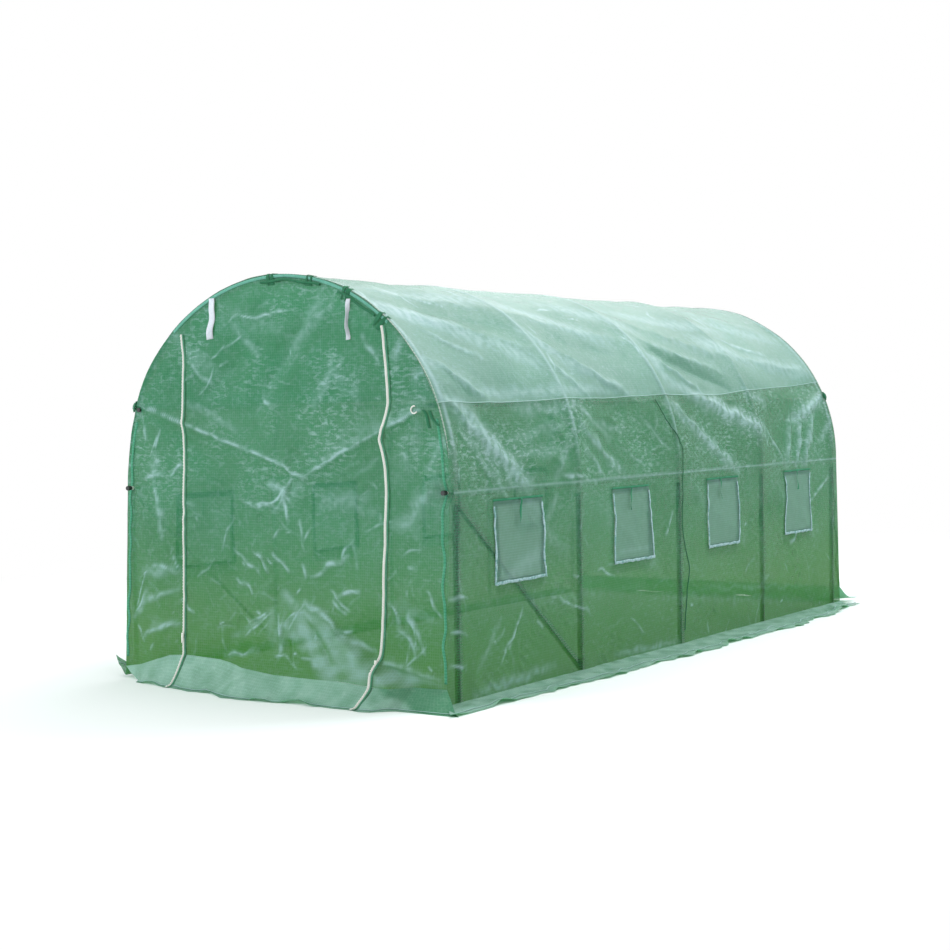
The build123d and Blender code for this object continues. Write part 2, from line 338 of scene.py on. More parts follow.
def makeNet():
    material, b = newMaterial("flyNet")
    u, v, _ = b.axes(b.cloth())
    threads = b.mesh(u, v, net["pitch"], 0.86, 0.96)
    patch = b.noise(b.place(), 20.0)
    b.surface(b.node("BsdfPrincipled", None, {
        "Base Color": b.mixColour(patch, net["thread"], net["shine"]), "Roughness": 0.6,
        "Alpha": threads * (1 - net["hole"]) + net["hole"], "Normal": b.bump(threads, 0.5, 0.0006)}))
    return material


# paleShare is a painted sky sheen, strongest on the roof and also on the skirts and flaps; glintShare sets
# the painted glints
filmMaterial = makeFilm("greenFilm")
frontMaterial = makeFilm("frontFilm", 0.0, 0.73, glintShare=0.48)
roofMaterial = makeFilm("roofFilm", 0.24, 0.88, 0.0, glintShare=0.12)
skirtMaterial = makeFilm("skirtFilm", 0.1, 0.86, 0.0, glintShare=0.25, pale=(0.41, 0.61, 0.53, 1))
flapMaterial = makeFilm("flapFilm", 0.46, 0.48, 0.0, 0.42, gridShare=0.26)
steelMaterial = makeSteel("zincSteel", 1.0)
# painted shade and light: darker and lighter copies of the zinc steel for legs, braces and the left side rail
legMaterial = makeSteel("shadedLegSteel", 0.15)
farMaterial = makeSteel("farShadedSteel", 0.95)
railMaterial = makeSteel("litRailSteel", 1.15)
capMaterial = makePlastic("blackCap", (0.012, 0.013, 0.013, 1), (0.05, 0.05, 0.05, 1), 0.4)
netMaterial = makeNet()
print("materials made")


# slow random swell of a sheet, as a sum of plane waves
def swell(u, v, seed, wave, count=22):
    pick = np.random.default_rng(seed)
    total = np.zeros_like(u)
    for _ in range(count):
        turn = pick.uniform(0, 2 * math.pi)
        number = 2 * math.pi / (wave * pick.uniform(0.6, 1.6))
        phase = pick.uniform(0, 2 * math.pi)
        total += np.sin(number * (u * math.cos(turn) + v * math.sin(turn)) + phase)
    return total / math.sqrt(count / 2)


# sharp lines where a crumpled film has been folded: the zero lines of a swell
def crumple(u, v, seed, wave):
    return 0.8 - np.abs(swell(u, v, seed, wave))


# folds wander a little: the same places pushed about by a slow swell
def wander(u, v, seed, size):
    return u + size * swell(u, v, seed, 0.16), v + size * swell(u, v, seed + 1, 0.16)


# share along a straight line, and widths away from it
def offLine(u, v, u0, v0, u1, v1, width):
    length = math.hypot(u1 - u0, v1 - v0)
    du, dv = (u1 - u0) / length, (v1 - v0) / length
    return ((u - u0) * du + (v - v0) * dv) / length, ((u - u0) * dv - (v - v0) * du) / width


# straight folds, each (u0, v0, u1, v1, width, height); crests are sharp and fade at both ends
# paleness along folds: partly stress-whitened wear, partly painted highlight
foldWearAndSheen = {"reach": 5, "fullHeight": 0.004, "fullWidth": 0.014, "crest": 0.9, "valley": 0.35}


def foldHeight(u, v, folds, crest=None):
    total = np.zeros_like(u)
    broken = np.clip(0.8 + 0.35 * swell(u, v, 7, 0.06), 0.35, 1.15) if crest is not None else None
    for *line, width, height in folds:
        along, away = offLine(u, v, *line, width)
        near = (along > 0) & (along < 1) & (np.abs(away) < foldWearAndSheen["reach"])
        fade = np.sin(along[near] * math.pi) ** 0.6
        off = np.abs(away[near])
        total[near] += height * fade * np.exp(-off ** 1.3)
        if crest is not None:  # how pale the film is along the fold, for its colour: partly stress-whitened wear, partly painted highlight
            wearAndSheen = min(1, abs(height) / foldWearAndSheen["fullHeight"]) * min(1, foldWearAndSheen["fullWidth"] / width)
            wearAndSheen = wearAndSheen * foldWearAndSheen["crest" if height > 0 else "valley"]
            crest[near] = np.maximum(crest[near], broken[near] * wearAndSheen * fade * np.exp(-(1.25 * off) ** 2.2))
    return total


# broad bands where slack film catches the sky, or turns away from it where the strength is minus;
# each (u0, v0, u1, v1, half width, strength)
def paintBands(u, v, bands, crest, share=1.0):
    patchy = np.clip(0.85 + 0.25 * swell(u, v, 8, 0.06), 0.45, 1.1) * share
    for *line, half, strength in sorted(bands, key=lambda band: -band[-1]):
        along, away = offLine(u, v, *line, half)
        shade = strength * np.sin(np.clip(along, 0, 1) * math.pi) ** 0.5 * np.exp(-np.abs(away) ** 2.2)
        if strength > 0:
            np.maximum(crest, patchy * shade, out=crest)
        else:
            crest += share * shade


# many faint short folds with a few long strong ones among them
def scatterFolds(seed, count, low, high, lengths, widths, heights):
    pick = np.random.default_rng(seed)
    folds = []
    for _ in range(count):
        u, v = pick.uniform(low[0], high[0]), pick.uniform(low[1], high[1])
        turn = pick.uniform(0, math.pi)
        length = lengths[0] + (lengths[1] - lengths[0]) * pick.uniform() ** 2
        height = (heights[0] + (heights[1] - heights[0]) * pick.uniform() ** 2.5) * pick.choice((-1, 1))
        folds.append((u, v, u + length * math.cos(turn), v + length * math.sin(turn),
                      pick.uniform(*widths), height))
    return folds


def selectOnly(piece):
    bpy.ops.object.select_all(action="DESELECT")
    piece.select_set(True)
    bpy.context.view_layer.objects.active = piece


def newPiece(name, mesh, material):
    mesh.materials.append(material)
    piece = bpy.data.objects.new(name, mesh)
    bpy.context.scene.collection.objects.link(piece)
    return piece


def applyModifier(piece, kind, **settings):
    modifier = piece.modifiers.new(kind.lower(), kind)
    for name, setting in settings.items():
        setattr(modifier, name, setting)
    selectOnly(piece)
    bpy.ops.object.modifier_apply(modifier=modifier.name)
    return piece


# a grid of points as one smooth sheet with its cloth map in metres; skip leaves out faces
def makeSheet(name, points, cloth, material, outward, skip=None, **marks):
    rows, columns = points.shape[:2]
    index = np.arange(rows * columns).reshape(rows, columns)
    quads = np.stack([index[:-1, :-1], index[:-1, 1:], index[1:, 1:], index[1:, :-1]], axis=-1)
    middle = points[rows // 2:rows // 2 + 2, columns // 2:columns // 2 + 2]
    facing = np.cross(middle[0, 1] - middle[0, 0], middle[1, 0] - middle[0, 0])
    if facing @ np.array(outward, float) < 0:
        quads = quads[..., ::-1]
    quads = quads.reshape(-1, 4) if skip is None else quads[~skip]
    mesh = bpy.data.meshes.new(name)
    mesh.from_pydata(points.reshape(-1, 3).tolist(), [], quads.tolist())
    layer = mesh.uv_layers.new(name="cloth")
    corner = np.zeros(len(mesh.loops), np.int32)
    mesh.loops.foreach_get("vertex_index", corner)
    layer.data.foreach_set("uv", cloth.reshape(-1, 2)[corner].astype(np.float32).ravel())
    mesh.polygons.foreach_set("use_smooth", np.ones(len(mesh.polygons), bool))
    for mark, values in marks.items():
        attribute = mesh.attributes.new(mark, "FLOAT", "POINT")
        attribute.data.foreach_set("value", values.astype(np.float32).ravel())
    piece = newPiece(name, mesh, material)
    selectOnly(piece)  # points that no face uses are taken out
    bpy.ops.object.mode_set(mode="EDIT")
    bpy.ops.mesh.select_all(action="SELECT")
    bpy.ops.mesh.delete_loose()
    bpy.ops.object.mode_set(mode="OBJECT")
    return piece


# every new piece rides on the one body
def place(piece, slotName, *replaced):
    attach(piece, "root")
    if replaced:
        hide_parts(*replaced)
    return piece


# the cover over the hoops: arc runs down from the ridge, plus is the right side
cover = {
    "columns": {"roof": 100, "right": 124, "left": 110}, "endColumns": 6,
    "rows": {"roof": 190, "right": 188, "left": 150},
    "railDepth": 0.02, "roofBelly": 0.007, "wallBelly": 0.02, "footDepth": 0.006,
    "clear": 0.0012, "flat": 0.007, "braceFlat": 0.02, "hoopSlope": 0.3, "railSlope": 0.35,
    "crownRun": 0.6, "crownShare": 0.4, "hemRun": 0.08, "wander": 0.007,
}
roofFolds = [
    (-2.3, 0.36, -1.16, 0.55, 0.05, 0.01), (-1.95, 0.55, -1.13, 0.72, 0.04, -0.012),
    (-2.2, 0.58, -1.14, 0.88, 0.05, 0.016), (-2.05, 0.74, -1.66, 0.95, 0.022, 0.006),
    (-2.22, 0.94, -1.8, 1.17, 0.035, 0.016), (-1.12, 0.58, 0.00, 0.8, 0.06, 0.016),
    (-0.9, 0.77, -0.2, 0.9, 0.045, -0.012), (-1.1, 0.78, -0.45, 1.14, 0.04, 0.016),
    (-1.1, 0.95, -0.84, 1.17, 0.022, 0.01), (-0.72, 1.02, -0.32, 1.17, 0.03, 0.01),
    (0.04, 0.55, 1.2, 0.93, 0.06, 0.014), (0.06, 0.75, 0.9, 1.00, 0.045, 0.018),
    (0.05, 0.81, 0.92, 1.13, 0.04, -0.022), (0.1, 0.89, 0.56, 1.17, 0.035, 0.014),
    (1.2, 0.7, 1.8, 0.86, 0.02, 0.006), (1.16, 0.86, 2.26, 1.00, 0.05, 0.014),
    (1.2, 0.35, 2.1, 0.6, 0.06, 0.01),
]
roofBands = [
    (-2.4, 0.55, -1.62, 0.74, 0.065, 0.75), (-1.95, 0.66, -1.16, 0.98, 0.065, 0.5),
    (-2.2, 0.36, -0.9, 0.48, 0.07, 0.4), (-1.16, 0.45, -0.2, 0.8, 0.07, 0.45),
    (-1.18, 0.72, -0.86, 0.98, 0.05, 0.5), (-1.00, 0.88, -0.36, 1.16, 0.055, 0.45),
    (-2.3, 0.93, -1.95, 1.08, 0.04, 0.45), (-2.12, 1.01, -1.78, 1.19, 0.034, 0.45),
    (-0.55, 0.38, 0.3, 0.7, 0.07, 0.4), (-2.1, 1.14, -0.2, 1.13, 0.04, 0.45),
    (0.05, 0.76, 0.16, 1.13, 0.05, 0.45), (0.1, 1.05, 0.52, 1.2, 0.045, 0.45),
    (0.7, 0.68, 1.5, 0.94, 0.075, 0.45), (1.3, 0.86, 2.3, 1.03, 0.07, 0.4),
    (0.1, 0.47, 1.6, 0.66, 0.06, 0.4), (1.3, 0.5, 2.2, 0.72, 0.07, 0.35),
    (-1.8, 0.52, -1.26, 0.7, 0.05, -0.22), (-1.66, 0.68, -1.42, 0.94, 0.08, -0.2),
    (-1.8, 0.93, -1.2, 1.11, 0.06, -0.22), (-2.22, 1.00, -1.92, 1.18, 0.045, -0.3),
    (-1.02, 0.8, -0.24, 1.02, 0.08, -0.36), (-0.62, 1.00, -0.2, 1.12, 0.045, -0.18),
    (0.00, 0.78, 1.14, 1.16, 0.05, -0.34), (0.46, 0.97, 1.00, 1.13, 0.045, -0.3),
    (0.06, 0.54, 0.92, 0.74, 0.07, -0.32), (-2.16, 0.52, -1.66, 0.6, 0.04, -0.15),
]
wallFolds = [
    (-2.27, 1.44, -1.59, 0.95, 0.045, 0.024), (-2.18, 1.29, -1.78, 0.9, 0.03, 0.008),
    (-1.12, 1.34, -0.64, 0.97, 0.04, 0.015), (-1.06, 1.18, -0.82, 0.95, 0.022, 0.008),
    (-1.16, 1.22, -1.36, 0.95, 0.03, 0.008), (-0.15, 1.4, 0.04, 1.12, 0.012, -0.008),
    (-0.31, 1.29, -0.1, 1.1, 0.012, -0.007), (0.3, 1.43, 1.22, 1.17, 0.05, 0.026),
    (0.00, 1.37, 0.78, 0.96, 0.036, 0.02), (1.24, 1.21, 1.5, 0.97, 0.02, 0.01),
    (1.71, 1.28, 1.54, 0.96, 0.028, 0.018), (1.85, 1.27, 1.7, 0.95, 0.024, 0.018),
    (2.05, 1.28, 1.81, 0.95, 0.03, 0.02), (1.6, 1.25, 2.15, 1.27, 0.022, -0.012),
    (-1.43, 0.42, -1.03, 0.29, 0.01, 0.006), (-1.66, 0.38, -1.88, 0.14, 0.012, 0.006),
    (-0.95, 0.51, -0.75, 0.45, 0.009, 0.004), (-0.06, 0.76, -0.19, 0.62, 0.014, 0.007),
    (1.7, 0.56, 1.56, 0.44, 0.016, 0.007), (2.2, 0.86, 1.9, 0.69, 0.016, 0.007),
    (-2.34, 0.5, -2.16, 0.47, 0.01, 0.006), (-2.33, 0.34, -2.18, 0.31, 0.01, 0.006),
    (-2.34, 0.18, -2.18, 0.17, 0.01, 0.006), (-2.2, 0.45, -0.3, 0.35, 0.04, 0.0015),
    (-0.5, 0.32, 2.00, 0.05, 0.03, 0.0015), (-1.8, 0.9, -1.2, 0.6, 0.05, 0.008),
    (-0.95, 0.86, -0.2, 0.42, 0.06, 0.01), (0.1, 0.9, 0.95, 0.5, 0.06, 0.01),
    (1.25, 0.88, 2.05, 0.46, 0.06, 0.01), (2.28, 1.395, 1.78, 1.245, 0.04, 0.022),
]
wallBands = [
    (-2.27, 1.46, -1.57, 0.93, 0.06, 1.00), (-2.2, 1.3, -1.78, 0.9, 0.014, 0.45),
    (-1.64, 1.35, -1.04, 1.35, 0.03, 0.45), (-1.74, 1.18, -1.12, 1.28, 0.028, 0.35),
    (-1.74, 1.11, -1.18, 1.15, 0.026, 0.32), (-1.27, 1.04, -1.16, 1.19, 0.015, 0.4),
    (-1.08, 1.27, -0.61, 0.98, 0.022, 0.7), (-1.09, 1.4, -0.7, 1.18, 0.02, 0.5),
    (-0.95, 1.28, -0.52, 1.22, 0.02, 0.4), (-0.34, 1.31, -0.08, 1.08, 0.012, 0.4),
    (0.24, 1.45, 1.28, 1.16, 0.055, 1.00), (-0.04, 1.39, 0.84, 0.925, 0.04, 0.8),
    (1.06, 1.44, 1.36, 1.35, 0.034, 0.6), (1.23, 1.22, 1.51, 0.96, 0.014, 0.45),
    (2.34, 1.41, 1.7, 1.22, 0.045, 0.9), (1.73, 1.31, 1.52, 0.92, 0.034, 0.6),
    (1.87, 1.31, 1.68, 0.92, 0.026, 0.7), (2.08, 1.31, 1.79, 0.92, 0.038, 0.75),
    (2.31, 1.255, 2.07, 1.07, 0.03, 0.6), (-1.33, 0.92, -1.47, 0.76, 0.02, 0.35),
    (-2.16, 0.03, -1.36, 0.07, 0.026, 0.65), (-0.8, 0.04, -0.02, 0.03, 0.018, 0.6),
    (-2.1, 0.12, -1.86, 0.36, 0.02, 0.35), (0.2, 0.3, 1.9, 0.16, 0.012, 0.2),
]


# height up the wall, along the film, that goes with an arc, and the arc of a height
def wallHeight(arc):
    return np.abs(footArc - np.abs(arc)) + footZ


def wallArc(z):
    return footArc + footZ - z


coverScatter = scatterFolds(21, 420, (-2.3, -footArc), (2.3, footArc), (0.03, 0.3), (0.007, 0.012),
                            (0.0004, 0.005))
braceLow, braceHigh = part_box("right_brace")
seamFade = 0.05  # run over which wall folds begin above the seam


def coverLift(arc, y, crest=None):
    side = np.abs(arc)
    bay = np.clip((y - hoopYs[0]) / bayLength, 0, len(bayMiddles))
    share = bay - np.floor(np.minimum(bay, len(bayMiddles) - 1e-6))
    span = 1 - np.abs(2 * share - 1) ** 2.2
    onRoof = np.sin(rise(side, 0, shoulderArc) * math.pi) * cover["roofBelly"]
    upper = np.sin(rise(side, shoulderArc, railArc - shoulderArc) * math.pi) * cover["wallBelly"]
    low = rise(side, railArc, footArc - railArc)
    crown = np.clip(side / (cover["crownRun"] * shoulderArc), cover["crownShare"], 1)  # taut at the ridge
    depth = crown * cover["railDepth"] * (1 - low) + cover["footDepth"] * low + onRoof + upper
    lift = -span * depth
    # wrinkles fade out towards the sewn ends, and the roof is drawn smoother than the walls
    edge = fall(np.abs(y), endReach(springZ), cover["hemRun"])
    loose = np.clip((side - 0.8 * shoulderArc) / (0.3 * shoulderArc), 0.25, 1)
    wrinkle = 0.0022 * swell(y, arc, 11, 0.45) + 0.0004 * swell(y, arc, 12, 0.15)
    wrinkle += loose * 0.0034 * crumple(y, arc, 13, 0.26) * np.clip(swell(y, arc, 14, 0.9), 0.2, 1.6)
    patches = np.clip(swell(y, arc, 16, 0.6) + 0.2, 0, 1.5)
    wrinkle += loose * 0.0015 * crumple(y, arc, 15, 0.09) * patches * edge
    slackY, slackArc = wander(y, arc, 17, cover["wander"])
    wrinkle += foldHeight(slackY, np.abs(slackArc), roofFolds, crest) * (side < shoulderArc + 0.1)
    onWall = rise(side, seamArc(y) - seamFade, seamFade)
    wrinkle += foldHeight(slackY, wallHeight(slackArc), wallFolds, crest) * onWall
    wrinkle += foldHeight(slackY, slackArc, coverScatter, crest) * loose
    if crest is not None:
        paintBands(slackY, np.abs(slackArc), roofBands, crest, 1 - onWall)
        paintBands(slackY, wallHeight(slackArc), wallBands, crest, onWall)
    return np.maximum(lift + wrinkle * edge, tubeSupport(side, y))


# distance from the line of the door bay's brace, growing fast past its foot
def braceOff(side, y):
    run, drop = braceHigh.y - braceLow.y, braceHigh.z - braceLow.z
    slant = (wallHeight(side) - braceHigh.z) * run + (y - braceLow.y) * drop
    past = np.maximum(y - braceHigh.y, 0) + np.maximum(braceLow.y - y, 0)
    return np.abs(slant) / math.hypot(run, drop) + 2 * past


# the film can't sink into the hoops and rails that carry it, and falls away from them like a tent
def tubeSupport(side, y):
    floor = np.full_like(y, -1.0)
    for hoopY in hoopYs:
        off = np.maximum(np.abs(y - hoopY) - cover["flat"], 0)
        floor = np.maximum(floor, hoopReach + cover["clear"] - coverRadius - cover["hoopSlope"] * off)
    for arc in (0, shoulderArc, railArc):
        off = np.maximum(np.abs(side - arc) - cover["flat"], 0)
        floor = np.maximum(floor, railReach + cover["clear"] - coverRadius - cover["railSlope"] * off)
    off = np.maximum(braceOff(side, y) - cover["braceFlat"], 0)
    return np.maximum(floor, braceHigh.x + cover["clear"] - coverRadius - cover["railSlope"] * off)


# where the film is painted pale over hoops and rails, a painted highlight of the tubes, and painted shade
# where legs, brace and rail caps show dark behind it, under the roof's edge, beside the middle hoop and at
# the wall's foot
marks = {
    "legs": ((0.75, 1.24), (0.5, 1.07), (0.75, 1.05), (0.45, 1.18), (0.45, 0.95)),  # painted shade of each leg: strength and top
    "hoops": (0.55, 0.44, 0.4, 0.1, 0.35),  # painted highlight over each hoop, how pale
    "onWall": 1.5,  # hoops are plainer over the dark wall
    "footShadeTop": ((-2.3, 0.47), (-1.2, 0.42), (0.2, 0.3), (2.3, 0.15)),  # top of the painted shade at the wall's foot, where the ground shows through the film
    "hoopHalf": 1.3, "legHalf": 2.4, "legFade": 0.08,  # halves in tube radii
    "seam": 0.45, "seamDrop": 0.012, "seamHalf": 0.014, "hoopShade": 0.4, "hoopShadeY": 0.024, "hoopShadeHalf": 0.009,
    "footShade": 0.12, "rail": 0.55, "railShade": 0.35, "brace": 0.8, "cap": 5,
}


def tubeMarks(side, y):
    hoop, dark = np.zeros_like(y), np.zeros_like(y)
    for hoopY, paleness, (strength, top) in zip(hoopYs, marks["hoops"], marks["legs"]):
        off = np.abs(y - hoopY) / tubeRadius
        hoop = np.maximum(hoop, paleness * bell(off / marks["hoopHalf"]))
        begun = fall(wallHeight(side), top, marks["legFade"]) * (side > quarterArc / 2)
        dark = np.maximum(dark, strength * begun * bell(off / marks["legHalf"]))
    under = side - seamArc(y)  # the roof's edge shades the wall below it
    shade = bell((under - marks["seamDrop"]) / marks["seamHalf"])
    dark = np.maximum(dark, marks["seam"] * shade * (under > 0.001))
    # painted shade along one side of the middle hoop on the roof
    hoopShade = bell((y - hoopYs[2] + marks["hoopShadeY"]) / marks["hoopShadeHalf"]) * rise(side, 0.4, 0.2) * (under < 0)
    # painted shade at the foot of the wall, below a listed line
    footShade = fall(wallHeight(side), between(y, marks["footShadeTop"]), 0.04) * (side > quarterArc)
    dark = np.maximum(dark, np.maximum(marks["hoopShade"] * hoopShade, marks["footShade"] * footShade))
    # painted highlight along the side rail, and painted shade just below it
    rail = marks["rail"] * np.clip(1.3 - np.abs(side - railArc) / (0.7 * railRadius), 0, 1)
    dark = np.maximum(dark, marks["railShade"] * np.clip(1.2 - np.abs(side - railArc - 0.017) / 0.008, 0, 1))
    # painted shade of the brace and of the rail cap behind the film
    brace = marks["brace"] * bell(braceOff(side, y) / (1.7 * railRadius)) * (side > railArc)
    capOff = np.hypot(y + endReach(railLow.z) - 0.012, side - railArc)
    cap = marks["cap"] * np.clip(1.6 - capOff / 0.011, 0, 1)
    past = rise(side, railArc - 0.3, 0.25)  # hoops fade as they run down the wall
    hoop = hoop * np.where(under > 0, marks["onWall"], 1)
    return np.maximum(hoop * (1 - past), rail), np.maximum(np.maximum(dark, brace), cap)


# turn from the top, and height of the bare cover, at an arc
def coverTurn(arc):
    return np.clip(arc / coverRadius, -math.pi / 2, math.pi / 2)


def coverHeight(arc):
    return springZ + coverRadius * np.cos(coverTurn(arc)) - np.maximum(np.abs(arc) - quarterArc, 0)


# point on the cover, proud of the film by the offset
def coverPoint(arc, y, offset=0.0, crest=None):
    arc, y = np.broadcast_arrays(np.asarray(arc, float), np.asarray(y, float))
    reach = coverRadius + coverLift(arc, y, crest) + offset
    turn = coverTurn(arc)
    drop = np.maximum(np.abs(arc) - quarterArc, 0)
    return np.stack([np.sin(turn) * reach, y, springZ + np.cos(turn) * reach - drop], axis=-1)


# columns stand on the hoops, and the last ones stretch to the leaning ends
def coverGrid(arcs, part):
    middle = np.linspace(hoopYs[0], hoopYs[-1], cover["columns"][part] * len(bayMiddles) + 1)
    arc = np.repeat(arcs[:, None], len(middle) + 2 * cover["endColumns"], axis=1)
    z = coverHeight(arcs)
    outer = np.linspace(0, 1, cover["endColumns"] + 1)[1:]
    tail = hoopYs[-1] + (endReach(z)[:, None] - hoopYs[-1]) * outer
    drawn = endReach(z) - cornerDraw(coverRadius * np.sin(coverTurn(arcs)), z)
    head = hoopYs[-1] + (drawn[:, None] - hoopYs[-1]) * outer
    y = np.concatenate([-head[:, ::-1], np.repeat(middle[None], len(arcs), axis=0), tail], axis=1)
    return arc, y


def buildRoof():
    arc, y = coverGrid(np.linspace(-shoulderArc, shoulderArc, cover["rows"]["roof"] + 1), "roof")
    arc = arc * seamArc(y) / shoulderArc
    crest = np.zeros_like(y)
    points = coverPoint(arc, y, 0, crest)
    # the pale marks are painted highlight over hoops and rails; the clear marks are painted shade
    wearAndSheen, clear = tubeMarks(np.abs(arc), y)
    piece = makeSheet("roof_film", points, np.stack([y, arc], -1), roofMaterial, (0, 0, 1), None,
                      crease=np.maximum(crest, wearAndSheen), touch=clear)
    place(piece, "cover_film", "roof_cover")
    2 * endReach(springZ)


# window openings are left out of the grid, whose rows and columns run along their edges
window = {"width": 0.38, "low": 0.535, "high": 0.885}


def buildWall(side, name):
    sign = 1 if side == "right" else -1
    edges = [shoulderArc, wallArc(window["high"]), wallArc(window["low"]), footArc]
    shares = [(b - a) / (footArc - shoulderArc) for a, b in zip(edges, edges[1:])]
    stretches = [np.linspace(a, b, max(2, round(cover["rows"][side] * share)), endpoint=False)
                 for a, b, share in zip(edges, edges[1:], shares)]
    arcs = np.concatenate(stretches + [[footArc]])
    arc, y = coverGrid(sign * arcs, side)
    down = (np.abs(arc) - shoulderArc) / (edges[1] - shoulderArc)
    arc = np.where(down < 1, sign * (seamArc(y) + (edges[1] - seamArc(y)) * down), arc)
    middleArc = (np.abs(arc[:-1, :-1]) + np.abs(arc[1:, 1:])) / 2
    middleY = (y[:-1, :-1] + y[1:, 1:]) / 2
    inside = (middleArc > edges[1]) & (middleArc < edges[2])
    skip = np.zeros_like(inside)
    for centre in bayMiddles:
        skip |= inside & (np.abs(middleY - centre) < window["width"] / 2)
    crest = np.zeros_like(y)
    points = coverPoint(arc, y, 0, crest)
    # the pale marks are painted highlight over hoops and rails; the clear marks are painted shade
    wearAndSheen, clear = tubeMarks(np.abs(arc), y)
    piece = makeSheet(name, points, np.stack([y, np.abs(arc)], -1), filmMaterial, (sign, 0, 0.2), skip,
                      crease=np.maximum(crest, wearAndSheen), touch=clear)
    place(piece, "cover_film", f"{side}_wall_cover")
    2 * endReach(0)


# zips: a tape and a row of teeth down the sheet, over the fold and out to the hem
zipper = {
    "tape": {"left": 0.011, "right": 0.014}, "fly": 0.011, "pitch": 0.0075, "tooth": (0.007, 0.0036, 0.0028),
    "proud": 0.0036, "top": 0.06, "look": 0.004, "halfStep": 0.0016, "toothProud": 0.0022,
    "left": [(1.78, 0.0), (1.6, 0.024), (0.96, 0.034), (0.11, 0.044)],
    "right": [(1.78, 0.0), (1.7, 0.018), (1.52, 0.042), (1.37, 0.056), (1.28, 0.036), (1.207, 0.004),
              (1.14, 0.026), (1.08, 0.04), (1.00, 0.048), (0.75, 0.044), (0.47, 0.038), (0.11, 0.026)],
}


# sideways drift of a zip at a height, read between its few listed places
def zipDrift(side, z):
    return between(z, zipper[side][::-1])


# the leaning front and back sheets: out is away from the middle of the tunnel
front = {
    "doorColumns": 180, "panelColumns": 56, "rows": 250, "zip": 0.61, "wander": 0.007,
    "crease": ((-0.9, 1.395), (0.063, 1.088), (0.11, 1.046), (0.19, 1.037), (0.38, 1.14), (0.62, 1.24),
               (0.87, 1.362)),
    "creaseProud": 0.016, "creaseLow": 0.15, "creaseHalf": 0.008, "flankPale": 0.45,
    "toeTop": 0.45, "toeSlope": 0.27, "toePale": 0.54,
    "toeEdge": ((0.06, 0.34), (0.2, 0.44), (0.39, 0.312), (0.49, 0.305), (0.554, 0.236), (0.66, 0.191),
                (0.87, 0.154), (1.06, 0.088)),
    "toeFoot": ((0.06, 0.34), (0.12, 0.26), (0.255, 0.22), (0.31, 0.1), (0.45, 0.04), (0.62, 0.06),
                (1.06, 0.09)),
    "fold": ((-1.0, 0.058), (-0.88, 0.077), (-0.655, 0.141), (-0.552, 0.148), (-0.236, 0.135), (0.083, 0.102),
             (0.45, 0.098), (0.65, 0.084), (1.0, 0.086)),
}
frontBands = [
    (0.8, 1.44, 0.885, 1.59, 0.022, 0.55), (0.7, 1.56, 0.73, 1.68, 0.026, 0.5),
    (0.95, 1.22, 0.985, 1.16, 0.03, 0.8), (0.86, 1.06, 1.00, 1.2, 0.02, 0.4),
    (0.7, 0.79, 0.96, 1.01, 0.034, 0.55), (0.25, 0.9, 0.58, 0.95, 0.03, 0.32),
    (0.06, 0.94, 0.22, 1.02, 0.02, 0.3), (-0.86, 0.56, -0.56, 0.56, 0.028, 0.45),
    (-0.8, 0.27, -0.56, 0.31, 0.016, 0.4), (-0.32, 0.155, -0.02, 0.215, 0.014, 0.45),
    (-0.05, 0.4, 0.14, 0.22, 0.05, 0.3), (0.03, 0.47, 0.17, 0.4, 0.03, 0.45),
    (-0.26, 0.25, 0.04, 0.4, 0.018, 0.4), (0.6, 0.47, 0.98, 0.38, 0.03, 0.25),
    (-0.95, 0.3, -0.82, 0.45, 0.016, 0.45), (-0.7, 1.75, -0.35, 1.52, 0.03, 0.3),
    (0.28, 1.9, 0.05, 1.55, 0.04, 0.35), (-0.6, 1.42, -0.2, 1.24, 0.02, 0.3),
    (0.18, 0.455, 0.41, 0.295, 0.008, 0.9), (0.2, 0.46, 0.12, 0.29, 0.008, 0.8),
    (0.36, 0.318, 0.62, 0.235, 0.01, 0.7), (0.24, 0.4, 0.32, 0.21, 0.008, 0.85),
    (0.19, 0.405, 0.43, 0.18, 0.009, -0.28), (0.12, 0.31, 0.19, 0.13, 0.009, -0.22),
]
